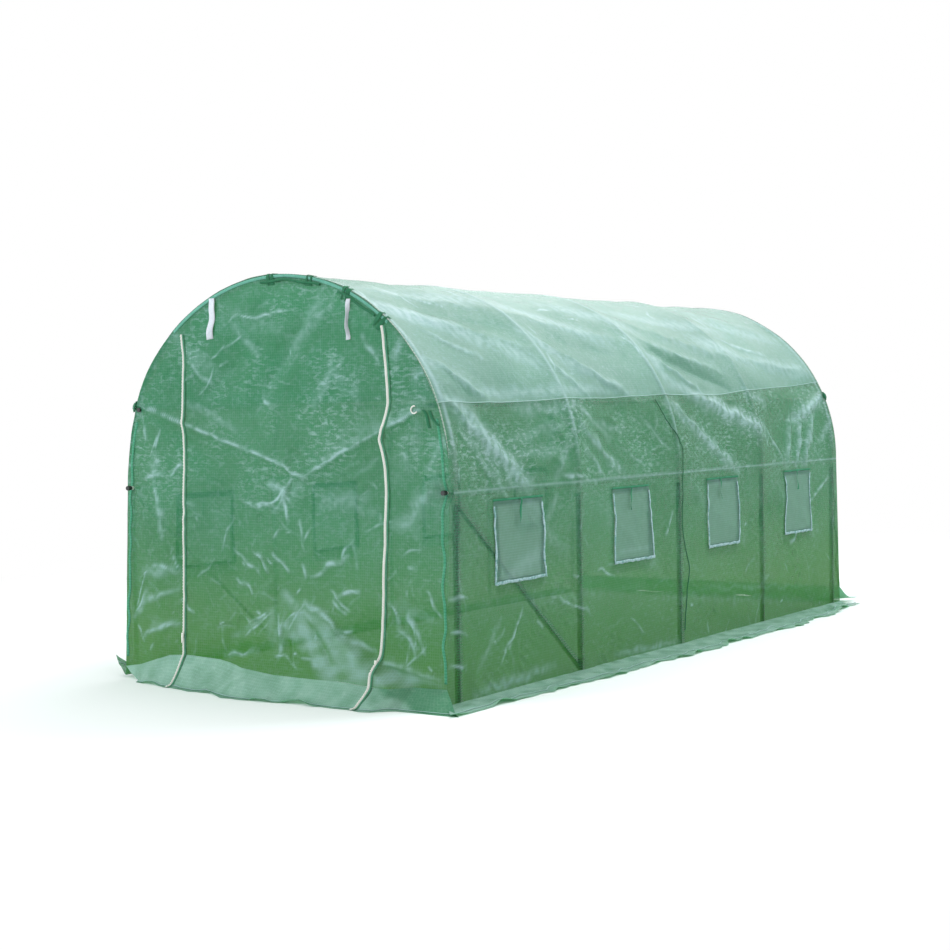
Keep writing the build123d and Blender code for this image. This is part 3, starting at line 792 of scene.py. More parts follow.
frontFolds = [
    (0.18, 0.46, 0.41, 0.3, 0.012, 0.01), (0.37, 0.316, 0.49, 0.312, 0.01, 0.008),
    (0.24, 0.35, 0.43, 0.15, 0.008, -0.01), (0.03, 0.395, 0.11, 0.235, 0.009, 0.008),
    (0.02, 0.395, -0.17, 0.315, 0.009, 0.007), (0.22, 0.42, 0.08, 0.34, 0.009, 0.007),
    (0.145, 0.31, 0.195, 0.12, 0.009, -0.008), (-0.19, 0.26, 0.02, 0.38, 0.008, 0.006),
    (-0.3, 0.16, -0.06, 0.21, 0.009, 0.006), (0.675, 0.475, 0.735, 0.385, 0.008, 0.007),
    (0.74, 0.4, 0.795, 0.255, 0.007, 0.006), (0.79, 0.43, 0.832, 0.225, 0.007, 0.006),
    (0.32, 0.5, 0.46, 0.415, 0.008, 0.007), (0.39, 0.485, 0.53, 0.51, 0.008, 0.006),
    (0.88, 0.525, 0.975, 0.4, 0.008, 0.006), (-0.72, 0.268, -0.58, 0.314, 0.008, 0.006),
    (-0.93, 0.345, -0.835, 0.437, 0.009, 0.007), (-0.91, 0.275, -0.835, 0.195, 0.008, 0.005),
    (0.105, 1.03, -0.01, 0.845, 0.009, 0.008), (0.115, 1.02, 0.05, 0.86, 0.008, -0.006),
    (0.09, 1.00, -0.05, 0.87, 0.008, 0.005), (-0.145, 0.903, 0.012, 0.899, 0.008, 0.006),
    (-0.135, 0.674, -0.014, 0.57, 0.008, 0.007), (-0.012, 0.682, 0.098, 0.576, 0.008, 0.007),
    (-0.196, 0.543, -0.134, 0.48, 0.008, 0.006), (-0.82, 0.57, -0.925, 0.37, 0.009, 0.007),
    (-0.762, 1.25, -0.815, 1.13, 0.009, 0.006), (-0.692, 1.034, -0.59, 1.1, 0.009, 0.006),
    (-0.012, 0.735, 0.033, 0.775, 0.008, 0.006), (-0.79, 0.6, -0.59, 0.545, 0.012, 0.006),
    (0.46, 0.225, 1.04, 0.09, 0.045, 0.026), (0.6, 0.165, 0.98, 0.118, 0.03, -0.014),
    (0.06, 0.42, 0.1, 0.16, 0.016, 0.007), (0.21, 0.56, 0.46, 0.67, 0.012, 0.007),
    (0.2, 0.55, 0.17, 0.62, 0.012, 0.006), (-0.1, 0.66, -0.02, 0.56, 0.01, 0.005),
    (-0.26, 0.68, -0.08, 0.55, 0.01, 0.004), (-0.92, 0.38, -0.6, 0.47, 0.018, 0.007),
    (-0.9, 0.54, -0.6, 0.57, 0.03, 0.008), (-0.88, 0.22, -0.6, 0.32, 0.016, 0.006),
    (0.34, 0.47, 0.52, 0.5, 0.01, 0.005), (0.33, 0.46, 0.44, 0.4, 0.01, 0.005),
    (0.7, 0.44, 0.84, 0.2, 0.016, 0.007), (0.78, 0.42, 0.88, 0.24, 0.014, 0.006),
    (0.86, 1.32, 0.7, 0.96, 0.06, 0.016), (0.96, 1.1, 0.78, 0.72, 0.05, 0.014),
    (-0.06, 1.02, 0.12, 0.9, 0.016, 0.006), (0.02, 0.98, 0.1, 0.8, 0.012, 0.006),
    (-0.2, 0.9, 0.06, 0.88, 0.01, 0.004), (0.3, 0.95, 0.62, 0.86, 0.04, 0.005),
    (0.2, 1.86, -0.14, 1.3, 0.05, -0.018), (0.4, 1.6, 0.2, 1.34, 0.03, 0.006),
    (-0.3, 1.8, -0.1, 1.6, 0.03, 0.005), (-0.55, 1.6, -0.4, 1.48, 0.018, 0.005),
    (-0.1, 1.42, 0.00, 1.36, 0.014, 0.006), (0.5, 1.7, 0.62, 1.55, 0.02, 0.006),
    (-0.8, 1.2, -0.72, 0.7, 0.02, 0.006), (-0.86, 1.00, -0.7, 1.06, 0.014, 0.005),
    (-0.35, 1.785, 0.15, 1.825, 0.007, 0.004), (-0.33, 1.64, -0.19, 1.72, 0.008, 0.005),
    (-0.36, 1.57, -0.3, 1.595, 0.008, 0.005), (-0.08, 1.485, 0.00, 1.44, 0.008, 0.006),
    (-0.49, 1.42, -0.39, 1.57, 0.007, 0.004), (-0.58, 1.5, -0.51, 1.52, 0.01, 0.006),
    (-0.745, 1.27, -0.785, 1.16, 0.008, 0.005), (0.12, 1.68, 0.36, 1.865, 0.03, 0.012),
    (-0.4, 1.84, 0.12, 1.7, 0.06, 0.012), (0.3, 1.6, 0.52, 1.36, 0.05, 0.012),
    (-0.52, 1.36, -0.2, 1.62, 0.06, -0.012), (0.6, 0.2, 0.98, 0.125, 0.02, 0.01),
]


# height of the crooked fold between the front and its skirt
def frontFold(x):
    return between(x, front["fold"])


# scattered folds keep between these places
endFoot, endMiddle, endTop = (-0.95, 0.1), (0.95, 0.95), (0.95, 1.9)
fineFold = (0.006, 0.009)
frontScatter = scatterFolds(35, 150, endFoot, endTop, (0.03, 0.26), fineFold, (0.0004, 0.004))
frontScatter += scatterFolds(36, 130, endFoot, endMiddle, (0.03, 0.22), fineFold, (0.0006, 0.005))
backScatter = scatterFolds(45, 220, endFoot, endTop, (0.03, 0.24), fineFold, (0.0004, 0.0045))


def frontProud(x, z, crest=None):
    below = between(x, front["crease"]) + 0.003 * swell(x, 0 * x, 37, 0.15) - z
    above = np.where(x < front["creaseLow"], 0.035, 0.075)
    vee = np.where(below < 0, np.exp(-np.abs(below) / above), np.exp(-(np.abs(below) / 0.025) ** 1.2))
    ends = fall(np.abs(x), 0.93, 0.12)
    proud = front["creaseProud"] * vee * ends
    if crest is not None:
        # painted highlight along the crease, and on its flank above it right of the middle, which faces up
        patchy = np.clip(0.75 + 0.35 * swell(x, z, 9, 0.06), 0.2, 1.1)
        np.maximum(crest, patchy * bell(np.abs(below) / front["creaseHalf"]) * ends, out=crest)
        flank = rise(x, 0.22, 0.15) * np.where(below < 0, np.exp(below / 0.055), 0) * ends
        np.maximum(crest, front["flankPale"] * patchy * flank, out=crest)
    # the slack film leans out at the foot; a broad patch right of the middle gets a painted highlight further
    # down
    drop = np.clip(front["toeTop"] - z, 0, 1)
    fromLeft = np.clip((x + 0.97 * drop + 0.03) / 0.22, 0, 1)
    fromRight = np.clip((0.23 + 1.64 * drop - x) / 0.08, 0, 1)
    proud += front["toeSlope"] * drop * fromLeft * fromRight
    wrinkle = 0.0024 * swell(x, z, 31, 0.42) + 0.0005 * swell(x, z, 32, 0.15)
    wrinkle += 0.003 * crumple(x, z, 33, 0.28) * np.clip(swell(x, z, 34, 0.7) + 0.4 * (1 - z), 0, 1.6)
    wrinkle += 0.0015 * crumple(x, z, 38, 0.09) * np.clip(swell(x, z, 39, 0.5) + 0.3, 0, 1.5)
    slackX, slackZ = wander(x, z, 30, front["wander"])
    wrinkle += foldHeight(slackX, slackZ, frontFolds, crest)
    wrinkle += foldHeight(slackX, slackZ, frontScatter, crest)
    if crest is not None:
        # painted highlight on the leaning toe, then painted sheen bands
        toe = fall(slackZ, between(slackX, front["toeEdge"]), 0.03)
        toe = toe * rise(slackZ, between(slackX, front["toeFoot"]), 0.04)
        toe = toe * np.clip(0.85 + 0.25 * swell(x, z, 40, 0.1), 0.3, 1.2)
        np.maximum(crest, front["toePale"] * toe, out=crest)
        paintBands(slackX, slackZ, frontBands, crest)
    return proud + wrinkle * rimCalm(x, z)


# wrinkles end where the sheet is sewn to the roof and walls
def rimCalm(x, z):
    rim = coverRadius - np.where(z > springZ, np.hypot(x, z - springZ), np.abs(x))
    return rise(rim, 0, 0.1)


def backProud(x, z, crest=None):
    wrinkle = 0.003 * swell(x, z, 41, 0.45) + 0.0005 * swell(x, z, 42, 0.16)
    wrinkle += 0.003 * crumple(x, z, 43, 0.3) * np.clip(swell(x, z, 44, 0.7) + 0.3, 0, 1.6)
    wrinkle += foldHeight(*wander(x, z, 46, 0.009), backScatter, crest)
    return wrinkle * rimCalm(x, z)


def endPoint(x, z, end, offset=0.0, crest=None):
    proud = frontProud(x, z, crest) if end == "front" else backProud(x, z, crest)
    y = endReach(z) - filmHalf + np.maximum(proud, -0.004 - 0.02 * rimCalm(x, z)) + offset
    y = y - cornerDraw(x, z) if end == "front" else y
    return np.stack([x, -y if end == "front" else y, z], axis=-1)


# height of the arch over a place across the tunnel
def archTop(x):
    return springZ + np.sqrt(np.maximum(coverRadius ** 2 - x ** 2, 0))


# point on the front, a distance in from the rim of the arch
def rimPoint(turn, inset, offset):
    radius = coverRadius - inset
    return endPoint(radius * np.sin(turn), springZ + radius * np.cos(turn), "front", offset)


# each column runs from the foot fold to the arch, so the top edge is the hoop's own outline
def endGrid(columns, end):
    share = np.linspace(0, 1, front["rows"] + 1)[:, None]
    top = archTop(columns)
    foot = frontFold(columns) if end == "front" else doorLow.z
    z = foot + (top - foot) * share
    return np.repeat(columns[None], len(share), axis=0), z


# columns near a zip drift with it
def driftColumns(x, z):
    for side, sign in (("left", -1), ("right", 1)):
        near = np.clip(1 - np.abs(x - sign * front["zip"]) / 0.24, 0, 1)
        x = x + zipDrift(side, z) * near * rimCalm(x, z)
    return x


def panelColumns(sign):
    first = math.asin(front["zip"] / coverRadius)
    return sign * coverRadius * np.sin(np.linspace(first, math.pi / 2, front["panelColumns"] + 1))


def buildEnd(name, columns, end, *replaced):
    x, z = endGrid(columns, end)
    if end == "front":
        x = driftColumns(x, z)
    outward = (0, -1, 0) if end == "front" else (0, 1, 0)
    crest = np.zeros_like(x)
    points = endPoint(x, z, end, 0, crest)
    piece = makeSheet(name, points, np.stack([x, z], -1), frontMaterial, outward, None, crease=crest)
    place(piece, "cover_film", *replaced)
    width, height = float(np.ptp(columns)), float(z.max() - doorLow.z)
    heights = z[-1] - z[0]
    area = float(np.sum((heights[1:] + heights[:-1]) / 2 * np.abs(np.diff(columns))))


def buildEnds():
    door = np.linspace(-front["zip"], front["zip"], front["doorColumns"] + 1)
    buildEnd("front_door_film", door, "front", "front_door")
    buildEnd("front_right_film", panelColumns(1), "front", "front_right_panel")
    buildEnd("front_left_film", panelColumns(-1), "front", "front_left_panel")
    whole = np.concatenate([-panelColumns(1)[::-1], door[1:-1], panelColumns(1)])
    buildEnd("back_film", whole, "back", "back_panel")


# ground skirts: from the fold at the foot out to the hem, with a wavy edge; tips are the runs past both ends
skirt = {
    "rows": 18, "sideReach": 0.21, "endReach": 0.16, "lift": 0.012, "thin": 0.0015, "under": 0.003,
    "pale": 0.53, "sidePale": 0.24, "foldPale": 0.25, "ear": 0.11, "earHeight": 0.1, "tipRun": 0.2,
    "flatFrom": 0.78,
    "rightWidths": ((0, 0.72), (0.25, 0.94), (0.5, 1.1), (0.85, 1.05), (1, 0.62)),
    "tips": {"right": (0.2, 0.0), "left": (-0.02, 0.045), "front": (-0.15, 0.17), "back": (0.06, 0.06)},
}
skirtPoints = {}


def buildSkirt(side, top, out, reach, seed):
    out = np.array(out, float)
    along = runLengths(top)
    run = (top[-1] - top[0]) / np.linalg.norm(top[-1] - top[0])
    s = np.linspace(0, 1, skirt["rows"] + 1)[:, None]
    u = np.repeat(along[None], len(s), axis=0)
    v = np.repeat(s * reach, len(along), axis=1)
    edgeWave = 0.012 * swell(along, 0 * along, seed, 0.5) + 0.006 * swell(along, 0 * along, seed + 1, 0.14)
    width = reach + edgeWave[None] * s
    if side == "left":  # drawn in towards the front corner
        ear = np.clip(1 - along / skirt["ear"], 0, 1) ** 0.7
        width = width * np.maximum(np.clip(0.1 + along / 1.2, 0, 1), 0.46 * ear)
    if side == "front":
        width = width * np.clip(0.3 + along / 0.9, 0, 1)
    if side == "right":  # narrow at both ends
        width = width * between(along / along[-1], skirt["rightWidths"])
    hang = (1 - rise(s, 0, skirt["flatFrom"])) ** 1.25
    low = skirt["thin"] + skirt["under"] * (side in ("left", "right"))  # side skirts lie on the end ones
    z = low + (top[None, :, 2] - low) * hang
    curl = np.clip(swell(u, v, seed + 2, 0.3), 0, 2) * skirt["lift"] * s ** 2
    ripple = 0.004 * swell(u, v, seed + 3, 0.2) + 0.004 * crumple(u, v, seed + 4, 0.22)
    z = np.maximum(z + curl + ripple * np.sin(s * math.pi), low)
    if side == "left":  # its front end stands up in an ear
        z = z + skirt["earHeight"] * ear * s ** 1.5
    first, last = skirt["tips"][side]
    atFirst = np.clip(1 - along / skirt["tipRun"], 0, 1) ** 1.5
    atLast = np.clip(1 - (along[-1] - along) / skirt["tipRun"], 0, 1) ** 1.5
    sideways = last * atLast - first * atFirst
    points = top[None] * np.array((1, 1, 0)) + out * (width * s)[..., None]
    points = points + run * (sideways[None] * s)[..., None]
    points[..., 2] = z
    skirtPoints[side] = points
    hem = (along[-1], reach)
    folds = scatterFolds(seed + 5, 40, (0, 0), hem, (0.03, 0.14), (0.006, 0.012), (0.001, 0.004))
    crest = rise(foldHeight(u, v, folds), 0, 0.004)
    # painted sky sheen on the flat skirt, more on the side skirts and on fold crests
    pale = skirt["pale"] + skirt["sidePale"] * (side in ("left", "right")) + skirt["foldPale"] * crest
    pale = pale * np.clip(0.97 + 0.16 * swell(u, v, seed + 6, 0.14), 0.6, 1.15)  # painted sheen varies here and there
    if side == "front":  # the right end of the front one lies in the dark
        pale = pale * (1 - 0.9 * rise(points[..., 0], 0.66 + 0.28 * s, 0.05))
    # painted sheen left off the standing ear
    if side == "left":
        pale = pale * (1 - np.clip(2 * ear, 0, 1))
    cloth = np.stack([u, v], -1)
    piece = makeSheet(f"{side}_skirt_film", points, cloth, skirtMaterial, (0, 0, 1), None, crease=pale)
    place(piece, "cover_film", f"{side}_skirt")


def buildSkirts():
    for sign, side, seed in ((1, "right", 51), (-1, "left", 61)):
        arc, y = coverGrid(np.array([sign * footArc]), side)
        buildSkirt(side, coverPoint(arc, y)[0], (sign, 0, 0), skirt["sideReach"], seed)
    x = np.linspace(-coverRadius, coverRadius, 201)
    z = np.full_like(x, doorLow.z)
    for sign, end, seed, carrier in ((-1, "front", 71, "front_door"), (1, "back", 81, "back_panel")):
        foot = frontFold(x) if end == "front" else z
        buildSkirt(end, endPoint(x, foot, end), (0, sign, 0), skirt["endReach"], seed)


buildRoof()
buildWall("right", "right_wall_film")
buildWall("left", "left_wall_film")
buildEnds()
buildSkirts()
print("film sheets made")


def thicken(piece, thickness):
    return applyModifier(piece, "SOLIDIFY", thickness=thickness, offset=0)


def joinPieces(pieces, name):
    selectOnly(pieces[0])
    for piece in pieces[1:]:
        piece.select_set(True)
    bpy.ops.object.join()
    pieces[0].name = pieces[0].data.name = name
    return pieces[0]


# a flat strap along a path, its width along the given sideways direction
def makeRibbon(name, path, sideways, width, thickness, material, outward, columns=5):
    path = np.array(path, float)
    sideways = np.array(sideways, float)
    share = np.linspace(-0.5, 0.5, columns)
    across = sideways if sideways.ndim == 2 else np.repeat(sideways[None], len(path), axis=0)
    points = path[:, None] + across[:, None] * (share * width)[None, :, None]
    along = runLengths(path)
    cloth = np.stack(np.broadcast_arrays((share * width)[None], along[:, None]), -1)
    return thicken(makeSheet(name, points, cloth, material, outward), thickness)


# one shape stamped at many places as a joined mesh; the pattern itself is removed
def stamp(pattern, places, name, material):
    corners = np.array([vertex.co for vertex in pattern.data.vertices])
    faces = [list(face.vertices) for face in pattern.data.polygons]
    points, polygons = [], []
    for spot in places:
        turn = np.array(spot)
        polygons += [[i + len(points) * len(corners) for i in face] for face in faces]
        points.append(corners @ turn[:3, :3].T + turn[:3, 3])
    mesh = bpy.data.meshes.new(name)
    mesh.from_pydata(np.concatenate(points).tolist(), [], polygons)
    bpy.data.objects.remove(pattern)
    return newPiece(name, mesh, material)


# a frame whose Z is along one direction and whose Y is near another
def spotFrame(point, forward, upward):
    z = Vector(forward).normalized()
    x = Vector(upward).cross(z).normalized()
    return Matrix.Translation(Vector(point)) @ Matrix((x, z.cross(x), z)).transposed().to_4x4()


def startPrimitive(name, add, **settings):
    bpy.ops.object.select_all(action="DESELECT")
    add(**settings)
    made = bpy.context.object
    made.name = made.data.name = name
    return made


def editMesh(piece):
    bpy.context.view_layer.objects.active = piece
    bpy.ops.object.mode_set(mode="EDIT")
    bpy.ops.mesh.select_mode(type="FACE")
    bpy.ops.mesh.select_all(action="SELECT")


def endEdit():
    bpy.ops.object.mode_set(mode="OBJECT")


# picks faces whose normal points along a direction
def pickFaces(piece, direction, limit=0.9):
    bpy.ops.mesh.select_all(action="DESELECT")
    bpy.ops.object.mode_set(mode="OBJECT")
    for face in piece.data.polygons:
        face.select = face.normal.dot(Vector(direction)) > limit
    bpy.ops.object.mode_set(mode="EDIT")


zipMaterial = makeStrap("zipTape", (0.81, 0.8, 0.76, 1), (0.58, 0.56, 0.5, 1), 0.002, 0.15)
flyMaterial = makeStrap("zipFly", (0.01, 0.15, 0.062, 1), (0.16, 0.4, 0.28, 1), 0.006, 0.1)
toothMaterial = makePlastic("zipTeeth", (0.82, 0.8, 0.74, 1), (0.6, 0.57, 0.5, 1), 0.35)
whiteStrap = makeStrap("whiteStrap", (0.8, 0.81, 0.86, 1), (0.55, 0.57, 0.66, 1), 0.0025, 0.45)
hookStrap = makeStrap("hookStrap", (0.42, 0.57, 0.6, 1), (0.13, 0.31, 0.29, 1), 0.012, 0.35, 0.3, 0.85)
greenStrap = makeStrap("greenStrap", (0.012, 0.24, 0.11, 1), (0.008, 0.15, 0.06, 1), 0.0025, 0.25)
wrapStrap = makeStrap("wrapStrap", (0.012, 0.165, 0.07, 1), (0.006, 0.08, 0.032, 1), 0.0025, 0.3)


def zipPath(side):
    sign = 1 if side == "right" else -1
    top = archTop(front["zip"]) - zipper["top"]
    z = np.linspace(top, float(frontFold(sign * front["zip"])), 170)
    x = sign * front["zip"] + zipDrift(side, z)
    upper = endPoint(x, z, "front", zipper["proud"])
    lower = skirtPoints["front"]
    column = int(np.argmin(np.abs(lower[0, :, 0] - x[-1])))
    over = lower[1:, column] + np.array((0, -0.6, 1.0)) * zipper["proud"]
    path = np.concatenate([upper, over])
    for _ in range(2):  # the stiff tape rounds off small kinks
        path[1:-1] = (path[:-2] + 2 * path[1:-1] + path[2:]) / 4
    return path


def buildZip(side):
    path = zipPath(side)
    width = zipper["tape"][side]
    tape = makeRibbon(f"{side}_zip_tape", path, (1, 0, 0), width, 0.0014, zipMaterial, (0, -1, 0))
    beside = path + np.array(((width + zipper["fly"]) / 2, 0, 0))
    fly = makeRibbon(f"{side}_zip_fly", beside, (1, 0, 0), zipper["fly"], 0.0012, flyMaterial, (0, -1, 0), 3)
    tape = joinPieces([tape, fly], f"{side}_zip_tape")
    tooth = startPrimitive("tooth", bpy.ops.mesh.primitive_cube_add, size=1)
    editMesh(tooth)
    bpy.ops.transform.resize(value=zipper["tooth"])
    pickFaces(tooth, (0, 0, 1))
    bpy.ops.mesh.inset(thickness=0.0008, depth=0.0007)  # rounded crown of the tooth
    endEdit()
    along = runLengths(path)
    spots = np.arange(zipper["pitch"], along[-1], zipper["pitch"])
    points, ahead = (np.stack([np.interp(spots + step, along, path[:, k]) for k in range(3)], -1)
                     for step in (0, zipper["look"]))
    places = []
    for i, (point, after) in enumerate(zip(points, ahead)):
        run = Vector(after - point)
        outward = Vector((1, 0, 0)).cross(run).normalized()
        outward = outward if outward.y < 0 or outward.z > 0.5 else -outward
        halfStep = zipper["halfStep"] if i % 2 else -zipper["halfStep"]  # teeth of the two halves in turn
        spot = Vector(point) + outward * zipper["toothProud"] + Vector((halfStep, 0, 0))
        places.append(spotFrame(spot, outward, run))
    teeth = stamp(tooth, places, f"{side}_zip_teeth", toothMaterial)
    slider = buildSlider(f"{side}_zip_slider", points[-40], points[-46])
    place(tape, "zip", f"{side}_zip")
    for piece in (teeth, slider):
        place(piece, "zip")


# slider body with a waisted top and a pull tab hanging from it
def buildSlider(name, point, above):
    body = startPrimitive(name, bpy.ops.mesh.primitive_cube_add, size=1)
    editMesh(body)
    bpy.ops.transform.resize(value=(0.013, 0.02, 0.007))
    pickFaces(body, (0, 0, 1))
    bpy.ops.mesh.inset(thickness=0.003, depth=0)
    bpy.ops.mesh.extrude_region_move(TRANSFORM_OT_translate={"value": (0, 0, 0.003)})
    bpy.ops.transform.resize(value=(0.5, 0.9, 1))
    endEdit()
    tab = startPrimitive(name + "_tab", bpy.ops.mesh.primitive_cube_add, size=1, location=(0, -0.022, 0.0045))
    editMesh(tab)
    bpy.ops.transform.resize(value=(0.009, 0.034, 0.0018))
    pickFaces(tab, (0, 0, 1))
    bpy.ops.mesh.inset(thickness=0.0022, depth=-0.0004)
    pickFaces(tab, (0, -1, 0))
    bpy.ops.transform.resize(value=(0.6, 1, 1))
    endEdit()
    for piece in (body, tab):
        selectOnly(piece)
        bpy.ops.object.transform_apply(location=True, rotation=True, scale=True)
        applyModifier(piece, "BEVEL", width=0.0008, segments=2)
    joined = joinPieces([body, tab], name)
    run = Vector(above) - Vector(point)
    outward = Vector((0, -1, 0.1))
    joined.data.transform(spotFrame(Vector(point) + outward * 0.006, outward, run))
    joined.data.materials.append(toothMaterial)
    return joined


# white straps that hold the rolled door, hanging from the arch
doorTie = {"places": ((-0.405, 0.012, 0.2, 0.034), (0.43, 0.04, 0.19, 0.022)), "thickness": 0.0016}


def buildDoorTies():
    ribbons = []
    for i, (x, drop, length, width) in enumerate(doorTie["places"]):
        top = archTop(x) - drop
        share = np.linspace(0, 1, 28)
        z = top - length * share
        sway = 0.006 * np.sin(share * 5 + 2 * i)
        slack = 0.008 * np.sin(share * 6 + i) ** 2
        path = endPoint(x + sway, z, "front", 0.006) - np.stack([0 * z, slack, 0 * z], -1)
        turn = 1.25 * np.sin(share * math.pi) * i + 0.5 * share ** 2
        across = np.stack([np.cos(turn), np.sin(turn) * 0.9, 0.15 * share], -1)
        thickness = doorTie["thickness"]
        ribbons.append(makeRibbon(f"tie{i}", path, across, width, thickness, whiteStrap, (0, -1, 0)))
    place(joinPieces(ribbons, "door_tie_straps"), "white_strap", "door_ties")


# windows: net inside, see-through flap outside, hook strips on three edges, hem and tie at the head
flap = {"half": 0.21, "low": 0.515, "high": 0.915, "proud": 0.004, "strip": 0.014, "hem": 0.008,
        "tieLength": 0.12, "tieWidth": 0.012,
        "pale": ((-1.86, 0.53, -1.42, 0.66, 0.04, 0.45), (-1.66, 0.92, -1.5, 0.84, 0.02, 0.35),
                 (-0.7, 0.575, -0.3, 0.58, 0.012, 0.4), (0.45, 0.9, 0.7, 0.86, 0.02, 0.25)),
        "skew": ((-0.02, 0, -0.04, 0.03), (0.015, 0, 0.018, 0.045), (0.015, 0.015, 0.018, 0.02),
                 (0, 0, 0, -0.01))}
netting = {"half": 0.22, "low": 0.465, "high": 0.915, "back": -0.004}


# a patch of the wall; skew moves the flap's upper and lower corners along it, so none hangs quite square
def wallPatch(sign, yLow, yHigh, zLow, zHigh, step, offset, skew=(0, 0, 0, 0), centre=0.0):
    z = np.linspace(zLow, zHigh, max(3, round((zHigh - zLow) / step) + 1))
    y = np.linspace(yLow, yHigh, max(3, round((yHigh - yLow) / step) + 1))
    z, y = np.meshgrid(z, y, indexing="ij")
    across = (y - centre) / (2 * flap["half"]) + 0.5
    up = (z - flap["low"]) / (flap["high"] - flap["low"])
    upper, lower = (skew[k] * (1 - across) + skew[k + 1] * across for k in (0, 2))
    y = y + up * upper + (1 - up) * lower
    arc = sign * wallArc(z)
    return coverPoint(arc, y, offset), np.stack([y, arc], -1)


def buildWindow(sign, side, number, centre):
    outward = (sign, 0, 0)
    low, high = centre - flap["half"], centre + flap["half"]
    skew = flap["skew"][number - 1]
    points, cloth = wallPatch(sign, low, high, flap["low"], flap["high"], 0.011, flap["proud"], skew, centre)
    crest = np.zeros_like(cloth[..., 0])
    # painted sky sheen in a few bands on the flap
    paintBands(cloth[..., 0], wallArc(np.abs(cloth[..., 1])), flap["pale"], crest)
    pane = makeSheet(f"{side}_flap_{number}", points, cloth, flapMaterial, outward, None, crease=crest)
    strips = []
    edges = ((low, low + flap["strip"], flap["low"], flap["high"] - 0.03),
             (high - flap["strip"], high, flap["low"], flap["high"] - 0.03),
             (low, high, flap["low"], flap["low"] + flap["strip"]))
    for i, edge in enumerate(edges):
        proud = flap["proud"] + 0.0016 + 0.0006 * (i == 2)
        points, cloth = wallPatch(sign, *edge, 0.007, proud, skew, centre)
        uneven = 0.0015 * swell(cloth[..., 0], cloth[..., 1], 90 + number * 3 + i, 0.06)
        points = points + np.stack([0 * uneven, uneven, uneven], -1)
        strips.append(thicken(makeSheet(f"strip{i}", points, cloth, hookStrap, outward), 0.0014))
    strips = joinPieces(strips, f"{side}_hook_strips_{number}")
    hemEdge = (low - 0.006, high + 0.006, flap["high"] - flap["hem"], flap["high"] + 0.002)
    points, cloth = wallPatch(sign, *hemEdge, 0.007, flap["proud"] + 0.002, skew, centre)
    hem = thicken(makeSheet(f"{side}_flap_hem_{number}", points, cloth, greenStrap, outward), 0.0014)
    place(pane, "cover_film", f"{side}_window_flap_{number}")
    place(strips, "white_strap")
    place(hem, "green_strap")
    share = np.linspace(0, 1, 22)
    z = flap["high"] - 0.004 - flap["tieLength"] * share
    y = centre - 0.01 + 0.006 * np.sin(share * 4 + number)
    slack = 0.006 * np.sin(share * 5 + number) ** 2
    path = coverPoint(sign * wallArc(z), y, flap["proud"] + 0.007 + slack)
    turn = 0.8 * np.sin(share * 3 + number) * share
    across = np.stack([np.sin(turn) * sign, np.cos(turn), 0 * turn], -1)
    tie = makeRibbon(f"tie{number}", path, across, flap["tieWidth"], 0.0012, greenStrap, outward)
    points, cloth = wallPatch(sign, centre - netting["half"], centre + netting["half"], netting["low"],
                              netting["high"], 0.012, netting["back"])
    return tie, makeSheet(f"net{number}", points, cloth, netMaterial, outward)


def buildWindows():
    for sign, side in ((1, "right"), (-1, "left")):
        made = [buildWindow(sign, side, i + 1, centre) for i, centre in enumerate(bayMiddles)]
        place(joinPieces([tie for tie, _ in made], f"{side}_flap_ties"), "green_strap", f"{side}_window_ties")
        nets = place(joinPieces([sheet for _, sheet in made], f"{side}_nets"), "net", f"{side}_window_nets")


# sewn lines of the cover: shoulder seams, bound end edges, corner tapes and hems
seam = {
    "width": 0.0036, "thickness": 0.0014, "proud": 0.0016, "edge": 0.006, "edgeWidth": 0.011, "edgeRun": 0.26,
    "tapeX": 0.97, "tapeLean": 0.025, "tapeWidth": 0.014, "tapeTop": 1.3, "hemRow": 14, "hemWidth": 0.006,
    "hemProud": 0.0034, "rimTurn": 0.72, "rimWidth": 0.015,
}
rimTape = makeStrap("rimTape", (0.07, 0.3, 0.2, 1), (0.2, 0.46, 0.38, 1), 0.009, 0.5)
# pale tape: on the shoulders a painted highlight along the roof's lower edge, on the skirt hems the hem's own
# colour
seamTapeAndHighlight = makeStrap("seamTapeAndHighlight", (0.42, 0.62, 0.58, 1), (0.24, 0.44, 0.38, 1), 0.003, 0.25)
bindTape = makeStrap("bindTape", (0.52, 0.58, 0.51, 1), (0.06, 0.2, 0.13, 1), 0.018, 0.85, 0.9)
cornerTape = makeStrap("cornerTape", (0.01, 0.19, 0.082, 1), (0.11, 0.38, 0.25, 1), 0.014, 0.3, 0.6)


